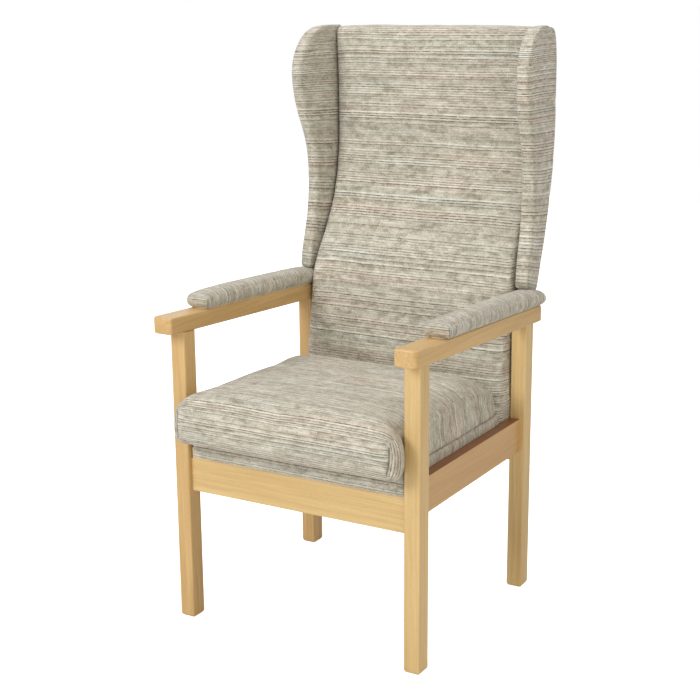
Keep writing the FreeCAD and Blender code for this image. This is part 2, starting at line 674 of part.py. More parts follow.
backOuter = backShape("BackOuter", "0")
backInner = backShape("BackInner", "coverThick")
backShell = cut("BackShell", backOuter, backInner)
frameRoom = slab("FrameRoom", "YZ_Plane", "-stileOuter - 1", "2 * (stileOuter + 1)", stileLine("-webThick", "120"))
rearRegion = slab("RearRegion", "YZ_Plane", "-seatHalf - 20", "2 * (seatHalf + 20)", [
    (depth("(baseRear - 4)"), "backBase - 20"), (depth("(baseRear + 80)"), "backBase - 20"),
    (depth("(neckRear + 80)"), "backTop - 14"), (depth("(crownRear - 8)"), "backTop - 14"),
    (depth("(neckRear - 4)"), "neckHeight", "2"), (depth("(ribRear - 6)"), "ribHeight", "-4"),
    (depth("(waistRear - 4)"), "waistHeight"), (depth("(loinRear - 4)"), "loinHeight"),
    (depth("(seatRear - 4)"), "seatHeight")])
stileBlank = slab("StileBlank", "YZ_Plane", "stileOuter - stileThick", "stileThick", stileLine("0"))


def straightFront(height):
    """Depth of the stile's front on its straight lower run, at a height."""
    slope = "(waistFront - baseFront) / (waistHeight - baseHeight)"
    return "(baseFront + %s * (%s - baseHeight) + backFoam + coverThick)" % (slope, height)


def upperFront(height):
    slope = "(crownFront - shoulderFront) / (stileTop - shoulderHeight)"
    return "(shoulderFront + %s * (%s - shoulderHeight) + backFoam + coverThick)" % (slope, height)


def curveFront(height):
    slope = "(chestFront - lumbarFront) / (chestHeight - lumbarHeight)"
    return "(ribFront + %s * (%s - ribHeight) + backFoam + coverThick + lumbarSet)" % (slope, height)


railHalf = "(stileOuter - stileThick)"


def leaningRail(label, front, low, high):
    """Rail or strap whose front face follows the stile between two heights."""
    return slab(label, "YZ_Plane", "-" + railHalf, "2 * " + railHalf, [
        (depth(front(low)), low), (depth("(%s + railThick)" % front(low)), low),
        (depth("(%s + railThick)" % front(high)), high), (depth(front(high)), high)])


bottomLow = "(backBase + coverThick)"
bottomHigh = "(backBase + coverThick + railDeep)"
topLow = "(stileTop - railDeep)"
bottomRail = leaningRail("BackBottomBlank", straightFront, bottomLow, bottomHigh)
topRail = leaningRail("BackTopBlank", upperFront, topLow, "stileTop")
lumbarLow = "(ribHeight - lumbarDeep / 2)"
lumbarHigh = "(ribHeight + lumbarDeep / 2)"
lumbarRail = leaningRail("BackLumbarBlank", curveFront, lumbarLow, lumbarHigh)
railPegs = []
railHoles = []
for name, front, low, high in (
        ("BottomRail", straightFront("(backBase + railDeep / 2)"), bottomLow, bottomHigh),
        ("LumbarRail", curveFront("ribHeight"), lumbarLow, lumbarHigh),
        ("TopRail", upperFront("(stileTop - railDeep / 2)"), topLow, "stileTop")):
    for height in ("%s + dowelInset" % low, "%s - dowelInset" % high):
        place = (railHalf, depth("(%s + railThick / 2)" % front), height)
        railPegs.append(peg(name + "Peg", place, "x", "dowelSize", "dowelReach"))
        railHoles.append(peg(name + "Hole", place, "x", "dowelSize", "dowelReach", "dowelPlay"))
rightRailPegs = group("RightBackRailPegs", railPegs)
keep(group("back_rail_dowels", [rightRailPegs, mirrored("LeftBackRailPegs", rightRailPegs)]))
rightRailHoles = group("RightBackRailHoles", railHoles)
backRailHoles = group("BackRailHoles", [rightRailHoles, mirrored("LeftBackRailHoles", rightRailHoles)])
keep(cut("back_bottom_rail", bottomRail, backRailHoles))
keep(cut("back_lumbar_rail", lumbarRail, backRailHoles))
keep(cut("back_top_rail", topRail, backRailHoles))

straps = []
for index, (front, low) in enumerate(((straightFront, "(seatHeight - 20)"), (straightFront, "(loinHeight - 10)"),
                                      (upperFront, "(neckHeight - 60)"), (upperFront, "(neckHeight + 40)"))):
    high = "(%s + webWide)" % low
    straps.append(slab("Strap%d" % index, "YZ_Plane", "-stileOuter", "2 * stileOuter", [
        (depth("(%s - webThick)" % front(low)), low), (depth(front(low)), low),
        (depth(front(high)), high), (depth("(%s - webThick)" % front(high)), high)]))
keep(group("back_webbing", straps))

# Wings: plywood board and packer bolted to the stile, foam and cover


wingHeights = {name: name + "Height" for name, place, height in wingMarks}
for name in ("wingToe", "wingHeel"):
    wingHeights[name] = "(%s + padHeight + %sClear)" % (armTop(name + "Depth"), name)


def wingMarksAt(inset):
    bows = {"wingHeel": "14", "wingBackbone": "3", "wingNape": "12", "wingTopFront": "28", "wingEar": "6",
            "wingNeck": "-6", "wingWaist": "-7.5"}
    moves = {"wingToe": (1, 1), "wingHeel": (-1, 1), "wingBackbone": (-1, 0), "wingNape": (-1, 0),
             "wingTopRear": (0, -1), "wingTopFront": (0, -1), "wingEar": (1, 0), "wingNeck": (1, 0), "wingWaist": (1, 0)}
    marks = []
    for name, depthOfMark, heightOfMark in wingMarks:
        across, up = moves[name]
        mark = ["%sDepth - wingSeamDepth + %d * (%s)" % (name, across, inset),
                "%s + %d * (%s)" % (wingHeights[name], up, inset)]
        if name in bows:
            mark.append(bows[name])
        marks.append(tuple(mark))
    return marks


def splayed(item):
    """Stands a wing piece on the seam line and turns its front outwards."""
    item.Placement = Placement(Vector(), Rotation(Z, sheet.get("wingSplay")))
    bind(item, "Placement.Base.x", "wingInner")
    bind(item, "Placement.Base.y", depth("wingSeamDepth"))
    bind(item, "Placement.Rotation.Angle", "wingSplay")
    return item


def wingPad(label, inset):
    """Padded wing, drawn in by inset, its edges rolled over in four steps at each face."""
    body = newBody(label)
    sections = []
    for share, drawn in ((0, 1), (0.3, 0.3), (1, 0)):
        roll = "(wingRound - %s)" % inset
        sections.append(("%s + %s * %s" % (inset, share, roll), "%s + %s * %s" % (inset, drawn, roll)))
    for share, drawn in ((1, 0), (0.3, 0.3), (0, 1)):
        sections.append(("wingThick - %s - %s * %s" % (inset, share, roll), "%s + %s * %s" % (inset, drawn, roll)))
    sketches = [outline(newSketch(body, "YZ_Plane", start), wingMarksAt(drawn)) for start, drawn in sections]
    doc.recompute()
    loft = body.newObject("PartDesign::AdditiveLoft", label + "Loft")
    loft.Profile = sketches[0]
    loft.Sections = sketches[1:]
    doc.recompute()
    return splayed(body)


def outsideSeam(label, base, inset):
    room = box(label + "Room", ("wingInner + %s" % inset, depth("(wingEarDepth - 80)"), wingHeights["wingHeel"] + " - 60"),
               ("wingInner + 4 * wingThick", depth("(wingBackboneDepth + 80)"), "wingTopFrontHeight + 60"))
    return common(label, base, room)


wingOuter = outsideSeam("WingOuter", wingPad("WingOuterPad", "0"), "0")
wingRoom = outsideSeam("WingRoom", wingPad("WingInnerPad", "coverThick"), "coverThick")
boardStart = "(wingThick - coverThick - wingBoardThick)"
wingBoardBlank = splayed(
    slab("WingBoardBlank", "YZ_Plane", boardStart, "wingBoardThick", wingMarksAt("coverThick + wingBoardInset")))
packerBlank = slab("PackerBlank", "YZ_Plane", "wingInner + coverThick", "wingThick", [
    (depth("(ribRear - 38)"), "ribHeight + 24"), (depth("(ribRear - 20)"), "ribHeight + 24"),
    (depth("(chestRear - 18)"), "chestHeight", "3"), (depth("(neckRear - 16)"), "neckHeight"),
    (depth("(crownRear - 18)"), "crownHeight - 20"), (depth("(crownRear - 44)"), "crownHeight - 20"),
    (depth("(neckRear - 44)"), "neckHeight", "-3"), (depth("(chestRear - 44)"), "chestHeight")])
boardSide = splayed(slab("BoardSide", "YZ_Plane", boardStart, "100", [
    ("-300", wingHeights["wingHeel"] + " - 100"), ("300", wingHeights["wingHeel"] + " - 100"),
    ("300", "wingTopFrontHeight + 100"), ("-300", "wingTopFrontHeight + 100")]))

wingBolts = []
wingBoltHoles = []
for name, y, height in (("Low", "(chestRear - 24)", "chestHeight"), ("High", "(crownRear - 30)", "headHeight")):
    start = "(stileOuter - stileThick - 4)"
    end = "(wingInner + (wingSeamDepth - %s) * tan(wingSplay) + %s + wingBoardThick / 2)" % (y, boardStart)
    for play, store in (("0", wingBolts), ("dowelPlay", wingBoltHoles)):
        shank = rod("Wing%sShank" % name, (start, depth(y), height), "x", "wingBoltSize / 2 + %s" % play,
                    "%s - %s" % (end, start))
        store.append(shank)
    head = rod("Wing%sHead" % name, (start, depth(y), height), "x", "wingBoltHead / 2", "4")
    bolt = doc.addObject("Part::Fuse", "Wing%sBolt" % name)
    bolt.Base = wingBolts.pop()
    bolt.Tool = head
    wingBolts.append(bolt)
rightWingBolts = group("RightWingBolts", wingBolts)
keep(group("wing_bolts", [rightWingBolts, mirrored("LeftWingBolts", rightWingBolts)]))
rightWingHoles = group("RightWingHoles", wingBoltHoles)
wingHoles = group("WingHoles", [rightWingHoles, mirrored("LeftWingHoles", rightWingHoles)])
backHoles = group("BackHoles", [bothBackHoles, wingHoles])
keep(cut("back_foam", cut("BackFoamBlank", backInner, frameRoom), bothBackHoles))
keep(cut("inside_back_cover", cut("InsideBackBlank", backShell, rearRegion), backHoles))
keep(cut("outside_back_cover", common("OutsideBackBlank", backShell, rearRegion), backHoles))
pair("back_stile", cut("BackStile", stileBlank, rightBackHoles, rightRailHoles, rightWingHoles))
pair("wing_cover", cut("WingCover", cut("WingSkin", wingOuter, wingRoom), rightWingHoles))
wingBoard = cut("WingBoard", wingBoardBlank, rightWingHoles)
wingPacker = cut("WingPacker", cut("PackerSawn", packerBlank, boardSide), rightWingHoles)
pair("wing_board", wingBoard)
pair("wing_packer", wingPacker)
pair("wing_foam", cut("WingFoam", wingRoom, wingBoardBlank, cut("PackerCore", packerBlank, boardSide), rightWingHoles))


# Arm pads: board, foam and a cover pulled over both

def padShape(label, inset, height):
    start = "(padStart + %s)" % inset
    end = "(padEnd - (%s))" % inset
    body = slab(label, "YZ_Plane", "%s - padProud + %s" % (inner, inset), "armWidth + 2 * (padProud - (%s))" % inset, [
        (depth(start), armTop(start)), (depth(end), armTop(end), "2"),
        (depth(end), "%s + %s" % (armTop(end), height), "1.5"),
        (depth(start), "%s + %s" % (armTop(start), height), "3")])
    return rounded(body, "padRound + 2 - (%s)" % inset, lambda edge: (
        edge.BoundBox.XLength < slight and edge.BoundBox.ZLength > edge.BoundBox.YLength))


def padRolled(label, inset):
    body = padShape(label, inset, "padHeight - %s" % inset)
    return rounded(body, "padRound - %s" % inset, rim(body))


padOuter = padRolled("PadOuter", "0")
padInner = padRolled("PadInner", "coverThick")
padBoardEnd = "(padEnd - coverThick - padBoardInset)"
padBoardStart = "(padStart + coverThick + padBoardInset)"
padBoard = slab("PadBoardBlank", "YZ_Plane", "%s - padProud + coverThick + padBoardInset" % inner,
                "armWidth + 2 * (padProud - coverThick - padBoardInset)", [
                    (depth(padBoardStart), armTop(padBoardStart)), (depth(padBoardEnd), armTop(padBoardEnd)),
                    (depth(padBoardEnd), "%s + padBoardThick" % armTop(padBoardEnd)),
                    (depth(padBoardStart), "%s + padBoardThick" % armTop(padBoardStart))])
rounded(padBoard, "padRound", lambda edge: runs(edge, Z))
pair("arm_pad_cover", cut("ArmPadCover", padOuter, padInner))
pair("arm_pad_board", cut("ArmPadBoard", padBoard, *padScrewHoles))
pair("arm_pad_foam", cut("ArmPadFoam", padInner, padBoard))


# Loose seat cushion: foam in a boxed cover with a zip along the rear

def cushionShape(label, inset):
    body = newBody(label)
    sections = []
    for name, place, half, bottom, top, crown in cushionStations:
        at = "%sCushionDepth" % name
        if name == "lip":
            at = "(%s + %s)" % (at, inset)
        if name == "end":
            at = "(%s - %s)" % (at, inset)
        sketch = newSketch(body, "XZ_Plane", depth(at))
        wide = "(%sCushionHalf - %s)" % (name, inset)
        low = "%sCushionBottom + %s" % (name, inset)
        high = "%sCushionTop - %s" % (name, inset)
        outline(sketch, [
            ("-" + wide, low), (wide, low, "cushionSwell"), (wide, high, "cushionCrown * %s" % crown),
            ("-" + wide, high, "cushionSwell")])
        sections.append(sketch)
    doc.recompute()
    loft = body.newObject("PartDesign::AdditiveLoft", label + "Loft")
    loft.Profile = sections[0]
    loft.Sections = sections[1:]
    loft.Ruled = True
    doc.recompute()
    return body


cushionOuter = cushionShape("CushionOuter", "0")
cushionFoam = cushionShape("cushion_foam", "coverThick")
keep(cut("cushion_cover", cushionOuter, cushionFoam), cushionFoam)
zipBase = box("ZipTape", ("-zipLength / 2", depth("(endCushionDepth + 0.05)"), "endCushionBottom + 20"),
              ("zipLength / 2", depth("(endCushionDepth + 0.05 + zipThick)"), "endCushionBottom + 20 + zipWide"))
zipPull = box("ZipPull", ("zipLength / 2", depth("(endCushionDepth + 0.05)"), "endCushionBottom + 21"),
              ("zipLength / 2 + 9", depth("(endCushionDepth + 0.05 + zipThick * 1.4)"), "endCushionBottom + 19 + zipWide"))
keep(group("cushion_zip", [zipBase, zipPull]))

doc.recompute()
faults = [item.Label for item in doc.Objects if "Invalid" in item.State or "Error" in item.State]
for item in finished:
    shape = item.Shape
    if shape.isNull() or not shape.isValid() or not shape.Solids:
        faults.append(item.Label + " shape")
if faults:
    raise RuntimeError("failed: " + ", ".join(faults))

os.makedirs("parts", exist_ok=True)
for item in finished:
    item.Shape.exportStep("parts/%s.step" % item.Label)
print(len(finished), "pieces")
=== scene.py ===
import bmesh
import bpy
import math
from mathutils import Matrix, Vector, noise


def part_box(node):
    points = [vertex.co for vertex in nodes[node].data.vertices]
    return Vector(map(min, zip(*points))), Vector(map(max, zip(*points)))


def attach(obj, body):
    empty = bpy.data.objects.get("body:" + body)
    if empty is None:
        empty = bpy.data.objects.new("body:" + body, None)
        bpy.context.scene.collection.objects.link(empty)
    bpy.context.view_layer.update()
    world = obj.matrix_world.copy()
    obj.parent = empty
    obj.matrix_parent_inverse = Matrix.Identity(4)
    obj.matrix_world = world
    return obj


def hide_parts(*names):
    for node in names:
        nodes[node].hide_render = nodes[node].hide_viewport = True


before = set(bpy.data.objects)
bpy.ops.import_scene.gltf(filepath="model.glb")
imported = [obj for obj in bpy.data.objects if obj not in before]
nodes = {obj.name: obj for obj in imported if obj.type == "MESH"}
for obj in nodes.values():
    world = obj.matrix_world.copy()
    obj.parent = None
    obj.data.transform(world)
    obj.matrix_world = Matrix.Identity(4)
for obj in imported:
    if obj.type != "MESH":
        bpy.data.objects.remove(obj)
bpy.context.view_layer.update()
scene = bpy.context.scene
print("frame loaded:", len(nodes), "nodes")

mm = 0.001
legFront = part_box("front_leg_right")[0].y  # depths are measured back from here, in mm


def deep(depth):
    return legFront + depth * mm


def clamp(value, low=0, high=1):
    return min(max(value, low), high)


def blend(first, second, share):
    return first + (second - first) * share


def ease(share):
    return share * share * (3 - 2 * share)


# Camera, at the angle and distance of the photograph
view = {
    "place": (1.40792, -2.16012, 1.24587),  # from the floor under the front legs' faces
    "azimuth": 30.4178,
    "elevation": 14.0296,
    "roll": -0.4037,
    "lens": 72.68,
    "sensor": 36,
    "shift": (-0.00436, -0.00146),
}


def placeCamera():
    turn, lift, roll = (math.radians(view[key]) for key in ("azimuth", "elevation", "roll"))
    back = Vector((math.sin(turn) * math.cos(lift), -math.cos(turn) * math.cos(lift), math.sin(lift)))
    level = Vector((math.cos(turn), math.sin(turn), 0))
    upright = back.cross(level)
    right = level * math.cos(roll) + upright * math.sin(roll)
    up = upright * math.cos(roll) - level * math.sin(roll)
    bpy.ops.object.camera_add()
    camera = bpy.context.object
    x, y, z = view["place"]
    turned = Matrix((right, up, back)).transposed().to_4x4()
    camera.matrix_world = Matrix.Translation((x, y + legFront, z)) @ turned
    camera.data.lens = view["lens"]
    camera.data.sensor_width = view["sensor"]
    camera.data.shift_x, camera.data.shift_y = view["shift"]
    scene.camera = camera


placeCamera()
scene.view_settings.view_transform = "Standard"

# Studio: pale floor, soft lamps, a white surround
studio = {
    "floorSize": 12,
    "floorColour": (0.86, 0.86, 0.86, 1),
    "floorGlow": 0.90,
    "ambient": 0.53,
    "ambientColour": (1.0, 0.965, 0.90, 1),
    "white": (1, 1, 1, 1),
    "lamps": [  # name, place, target, diameter, power, colour
        ("keyLamp", (-1.5, -3.6, 2.5), (0, -0.1, 0.6), 2.0, 91, (1, 1, 1)),
        ("fillLamp", (3.0, -2.2, 1.3), (0, 0, 0.5), 2.2, 20, (1, 0.90, 0.70)),
        ("topLamp", (0.3, 0.2, 3.2), (0, 0, 0.6), 2.0, 25, (1, 1, 1)),
    ],
}


def newMaterial(name):
    material = bpy.data.materials.new(name)
    material.use_nodes = True
    tree = material.node_tree
    tree.nodes.clear()
    return material, tree


def add(tree, kind, **values):
    # one node, its settings by name and its unlinked inputs as in_Name
    made = tree.nodes.new(kind)
    for key, value in values.items():
        if key.startswith("in_"):
            key = key[3:]
            made.inputs[int(key) if key.isdigit() else key.replace("_", " ")].default_value = value
        else:
            setattr(made, key, value)
    return made


def join(tree, *pairs):
    for start, end in pairs:
        tree.links.new(start, end)


def buildFloor():
    # the camera sees the floor lit up to the white of the surround
    bpy.ops.mesh.primitive_plane_add(size=studio["floorSize"], location=(0, 0, 0))
    floor = bpy.context.object
    floor.name = "studio_floor"
    material, tree = newMaterial("paleFloor")
    out = add(tree, "ShaderNodeOutputMaterial")
    matte = add(tree, "ShaderNodeBsdfDiffuse", in_Color=studio["floorColour"])
    glow = add(tree, "ShaderNodeEmission", in_Color=studio["white"], in_Strength=studio["floorGlow"])
    both = add(tree, "ShaderNodeAddShader")
    paths = add(tree, "ShaderNodeLightPath")
    seen = add(tree, "ShaderNodeMixShader")
    join(tree, (matte.outputs[0], both.inputs[0]), (glow.outputs[0], both.inputs[1]),
         (paths.outputs["Is Camera Ray"], seen.inputs[0]), (matte.outputs[0], seen.inputs[1]),
         (both.outputs[0], seen.inputs[2]), (seen.outputs[0], out.inputs["Surface"]))
    floor.data.materials.append(material)


def buildSurround():
    # white to the camera and in reflections, dimmer as a light
    world = bpy.data.worlds.new("softSurround")
    scene.world = world
    world.use_nodes = True
    tree = world.node_tree
    tree.nodes.clear()
    out = add(tree, "ShaderNodeOutputWorld")
    dim = add(tree, "ShaderNodeBackground", in_Color=studio["ambientColour"], in_Strength=studio["ambient"])
    white = add(tree, "ShaderNodeBackground", in_Color=studio["white"], in_Strength=1)
    paths = add(tree, "ShaderNodeLightPath")
    some = add(tree, "ShaderNodeMath", operation="MAXIMUM")
    direct = add(tree, "ShaderNodeMath", operation="MAXIMUM")
    mix = add(tree, "ShaderNodeMixShader")
    join(tree, (paths.outputs["Is Camera Ray"], some.inputs[0]),
         (paths.outputs["Is Glossy Ray"], some.inputs[1]), (some.outputs[0], direct.inputs[0]),
         (paths.outputs["Is Transmission Ray"], direct.inputs[1]), (direct.outputs[0], mix.inputs[0]),
         (dim.outputs[0], mix.inputs[1]), (white.outputs[0], mix.inputs[2]),
         (mix.outputs[0], out.inputs["Surface"]))


def placeLamps():
    for name, place, target, size, energy, colour in studio["lamps"]:
        bpy.ops.object.light_add(type="AREA", location=place)
        lamp = bpy.context.object
        lamp.name = name
        lamp.data.energy = energy
        lamp.data.color = colour
        lamp.data.shape = "DISK"
        lamp.data.size = size
        lamp.rotation_euler = (Vector(target) - Vector(place)).to_track_quat("-Z", "Y").to_euler()


buildFloor()
buildSurround()
placeLamps()
print("studio built")


# Shared shader parts

def feed(tree, value, socket):
    # a constant is set on the socket, an output is linked to it
    if isinstance(value, (int, float, tuple)):
        socket.default_value = value
    else:
        join(tree, (value, socket))


def newGroup(name, inputs, outputs):
    group = bpy.data.node_groups.new(name, "ShaderNodeTree")
    for label, kind, value in inputs:
        socket = group.interface.new_socket(name=label, in_out="INPUT", socket_type="NodeSocket" + kind)
        if value is not None:
            socket.default_value = value
    for label, kind in outputs:
        group.interface.new_socket(name=label, in_out="OUTPUT", socket_type="NodeSocket" + kind)
    return group, add(group, "NodeGroupInput"), add(group, "NodeGroupOutput")


def maths(tree, operation, *values):
    made = add(tree, "ShaderNodeMath", operation=operation)
    for value, socket in zip(values, made.inputs):
        feed(tree, value, socket)
    return made.outputs[0]


def vector(tree, *values):
    made = add(tree, "ShaderNodeCombineXYZ")
    for value, socket in zip(values, made.inputs):
        feed(tree, value, socket)
    return made.outputs[0]


def scaled(tree, place, factors):
    return vector(tree, *(maths(tree, "MULTIPLY", value, factor) for value, factor in zip(place, factors)))


def splitUp(tree, place):
    made = add(tree, "ShaderNodeSeparateXYZ")
    join(tree, (place, made.inputs[0]))
    return tuple(made.outputs)


def noiseOf(tree, place, scale=1.0, detail=2.0, roughness=0.5):
    made = add(tree, "ShaderNodeTexNoise", in_Scale=scale, in_Detail=detail, in_Roughness=roughness)
    join(tree, (place, made.inputs["Vector"]))
    return made.outputs["Fac"]


def stretch(tree, value, low, high, newLow=0.0, newHigh=1.0):
    made = add(tree, "ShaderNodeMapRange", in_1=low, in_2=high, in_3=newLow, in_4=newHigh)
    join(tree, (value, made.inputs[0]))
    return made.outputs[0]


def ramp(tree, value, stops):
    made = add(tree, "ShaderNodeValToRGB")
    bar = made.color_ramp
    while len(bar.elements) < len(stops):
        bar.elements.new(0.5)
    for element, (place, colour) in zip(bar.elements, stops):
        element.position = place
        element.color = (*colour, 1)
    join(tree, (value, made.inputs[0]))
    return made.outputs[0]


def tint(tree, mode, factor, first, second):
    made = add(tree, "ShaderNodeMix", data_type="RGBA", blend_type=mode)
    for value, index in ((factor, 0), (first, 6), (second, 7)):
        feed(tree, value, made.inputs[index])
    return made.outputs[2]


def principled(name, **inputs):
    material, tree = newMaterial(name)
    out = add(tree, "ShaderNodeOutputMaterial")
    surface = add(tree, "ShaderNodeBsdfPrincipled", **inputs)
    join(tree, (surface.outputs[0], out.inputs["Surface"]))
    return material, tree, surface


def raised(tree, surface, height, strength, distance):
    bump = add(tree, "ShaderNodeBump", in_Strength=strength, in_Distance=distance)
    join(tree, (height, bump.inputs["Height"]), (bump.outputs[0], surface.inputs["Normal"]))


patternOutputs = [("Color", "Color"), ("Height", "Float"), ("Roughness", "Float")]

# Ribbed chenille: tufted weft rows, parted by thin dark binding threads
chenille = {
    "rowPitch": 0.0052,
    # noise cells per metre, along and across the rows
    "drift": (7.0, 6.0),
    "wobble": (120.0, 90.0),
    "flecks": (48.0, 75.0),
    "strips": (14.0, 52.0),
    "bands": (2.6, 30.0),
    "shading": (5.0, 9.0),
    "pile": 1300.0,
    # noise cells per metre along a row, and a step that sets each row apart
    "streaks": (34.0, 7.31),
    "tufts": (330.0, 3.7),
    "dashes": (95.0, 5.3),
    # how far the rows wander, in metres
    "driftReach": 0.0045,
    "wobbleReach": 0.0009,
    # part of each pattern in the tone of the yarn
    "rowTone": 0.24,
    "streakTone": 0.26,
    "tuftTone": 0.36,
    "fleckTone": 0.24,
    "stripTone": 0.11,
    # thickness and place as parts of a row, strength, and a number that varies the breaks
    "mainThread": (0.30, 0.0, 0.98, 0.0),
    "fineThread": (0.20, 0.46, 0.62, 57.0),
    "seamShade": 0.66,
    "slide": 0.37,  # part of a material's slide across the rows that it also makes along them
    "yarns": [
        (0.00, (0.190, 0.165, 0.128)),
        (0.28, (0.395, 0.365, 0.303)),
        (0.55, (0.665, 0.637, 0.557)),
        (0.78, (0.820, 0.800, 0.733)),
        (1.00, (0.900, 0.890, 0.845)),
    ],
    "casts": [
        (0.00, (1.030, 0.968, 0.935)),
        (0.45, (1.000, 0.992, 0.965)),
        (1.00, (0.968, 1.000, 0.985)),
    ],
    "threads": [
        (0.0, (0.105, 0.085, 0.060)),
        (0.4, (0.190, 0.130, 0.085)),
        (0.7, (0.150, 0.150, 0.125)),
        (1.0, (0.260, 0.235, 0.190)),
    ],
}


def rowChance(group, row, shift):
    made = add(group, "ShaderNodeTexWhiteNoise", noise_dimensions="1D")
    join(group, (maths(group, "ADD", row, shift), made.inputs["W"]))
    return made.outputs["Value"]


def threadLine(group, rows, along, kind):
    # broken dark line once a row, of a strength of its own
    thickness, place, strength, shift = chenille[kind]
    middle = maths(group, "ADD", maths(group, "ADD", rows, place), 0.5)
    near = maths(group, "ABSOLUTE", maths(group, "SUBTRACT", maths(group, "FRACT", middle), 0.5))
    line = stretch(group, near, thickness * 0.35, thickness, 1.0, 0.0)
    row = maths(group, "FLOOR", middle)
    perMetre, rowStep = chenille["dashes"]
    dashPlace = vector(group, maths(group, "MULTIPLY", along, perMetre),
                       maths(group, "MULTIPLY_ADD", row, rowStep, shift))
    dashes = stretch(group, noiseOf(group, dashPlace, roughness=0.6), 0.30, 0.58, 0.45, 1.0)
    weight = stretch(group, rowChance(group, row, shift), 0.05, 0.80, 0.22, 1.0)
    broken = maths(group, "MULTIPLY", maths(group, "MULTIPLY", line, dashes), weight)
    return maths(group, "MULTIPLY", broken, strength)


def chenilleGroup():
    group, given, result = newGroup(
        "chenilleRows", [("Place", "Vector", None), ("Seam", "Float", 0.0)], patternOutputs)
    along, across = splitUp(group, given.outputs["Place"])[:2]

    def patches(key, detail=2.0, roughness=0.5):
        return noiseOf(group, scaled(group, (along, across), chenille[key]), 1.0, detail, roughness)

    # rows, and how the tone changes within and between them
    wandered = maths(group, "MULTIPLY_ADD", patches("wobble"), chenille["wobbleReach"], across)
    wandered = maths(group, "MULTIPLY_ADD", patches("drift"), chenille["driftReach"], wandered)
    rows = maths(group, "DIVIDE", wandered, chenille["rowPitch"])
    row = maths(group, "FLOOR", rows)
    halfRow = maths(group, "FLOOR", maths(group, "MULTIPLY", rows, 2.0))
    streaks = noiseOf(group, scaled(group, (along, row), chenille["streaks"]), 1.0, 3.0, 0.6)
    tufts = noiseOf(group, scaled(group, (along, halfRow), chenille["tufts"]), 1.0, 2.0, 0.7)
    tufts = stretch(group, tufts, 0.25, 0.75)
    tone = maths(group, "MULTIPLY", stretch(group, streaks, 0.3, 0.7), chenille["streakTone"])
    tone = maths(group, "MULTIPLY_ADD", rowChance(group, row, 0.0), chenille["rowTone"], tone)
    tone = maths(group, "MULTIPLY_ADD", tufts, chenille["tuftTone"], tone)
    flecks = stretch(group, patches("flecks", roughness=0.6), 0.34, 0.66)
    tone = maths(group, "MULTIPLY_ADD", flecks, chenille["fleckTone"], tone)
    strips = stretch(group, patches("strips"), 0.32, 0.68, -chenille["stripTone"], chenille["stripTone"])
    yarn = ramp(group, maths(group, "ADD", tone, strips), chenille["yarns"])

    # warmer and cooler bands, dark threads, worn pile and painted shade along the seams
    cast = ramp(group, stretch(group, patches("bands", 3.0), 0.34, 0.66), chenille["casts"])
    yarn = tint(group, "MULTIPLY", 1.0, yarn, cast)
    dark = maths(group, "MAXIMUM", threadLine(group, rows, along, "mainThread"),
                 threadLine(group, rows, along, "fineThread"))
    threads = ramp(group, rowChance(group, row, 31.0), chenille["threads"])
    colour = tint(group, "MIX", dark, yarn, threads)
    pile = noiseOf(group, given.outputs["Place"], chenille["pile"], 2.0, 0.7)
    grey = maths(group, "MULTIPLY", stretch(group, patches("shading"), 0.3, 0.7, 0.95, 1.05),
                 stretch(group, pile, 0.25, 0.75, 0.88, 1.12))
    # painted shade along the seams, read from the seam attribute
    seamGrey = maths(group, "MULTIPLY_ADD", given.outputs["Seam"], -chenille["seamShade"], 1.0)
    grey = maths(group, "MULTIPLY", grey, seamGrey)
    shade = add(group, "ShaderNodeCombineColor")
    join(group, *((grey, shade.inputs[index]) for index in range(3)))
    colour = tint(group, "MULTIPLY", 1.0, colour, shade.outputs[0])

    # ribs, tufts and pile stand up, threads lie low
    rib = maths(group, "SINE", maths(group, "MULTIPLY", maths(group, "FRACT", rows), math.pi))
    height = maths(group, "MULTIPLY_ADD", tufts, 0.35, maths(group, "POWER", rib, 0.7))
    height = maths(group, "MULTIPLY_ADD", pile, 0.35, height)
    height = maths(group, "MULTIPLY_ADD", dark, -0.35, height)
    join(group, (colour, result.inputs["Color"]), (height, result.inputs["Height"]),
         (stretch(group, pile, 0.3, 0.7, 0.84, 0.97), result.inputs["Roughness"]))
    return group


chenilleRows = chenilleGroup()


def chenilleMaterial(name, slide):
    material, tree, cloth = principled(
        name, in_Sheen_Weight=0.25, in_Sheen_Roughness=0.5, in_Specular_IOR_Level=0.2)
    laid = add(tree, "ShaderNodeUVMap", uv_map="cloth")
    moved = add(tree, "ShaderNodeMapping", in_Location=(slide * chenille["slide"], slide, 0))
    seam = add(tree, "ShaderNodeAttribute", attribute_name="seam")
    weave = add(tree, "ShaderNodeGroup", node_tree=chenilleRows)
    join(tree, (laid.outputs[0], moved.inputs["Vector"]), (moved.outputs[0], weave.inputs["Place"]),
         (seam.outputs["Fac"], weave.inputs["Seam"]), (weave.outputs["Color"], cloth.inputs["Base Color"]),
         (weave.outputs["Roughness"], cloth.inputs["Roughness"]))
    raised(tree, cloth, weave.outputs["Height"], 0.7, 0.0012)
    return material


# Straight-grained timber: long fibres, short pore flecks and slow changes of tone
grain = {  # cells per metre, along x, y and the length z
    "slow": (14.0, 14.0, 1.6),
    "fibres": (190.0, 190.0, 5.0),
    "pores": (900.0, 900.0, 110.0),
    "swing": 0.02,
    "poreColour": (0.22, 0.12, 0.05, 1),
    # colour of the painted shade on the side rails' top faces
    "topShadeColour": (0.42, 0.26, 0.20, 1),
}


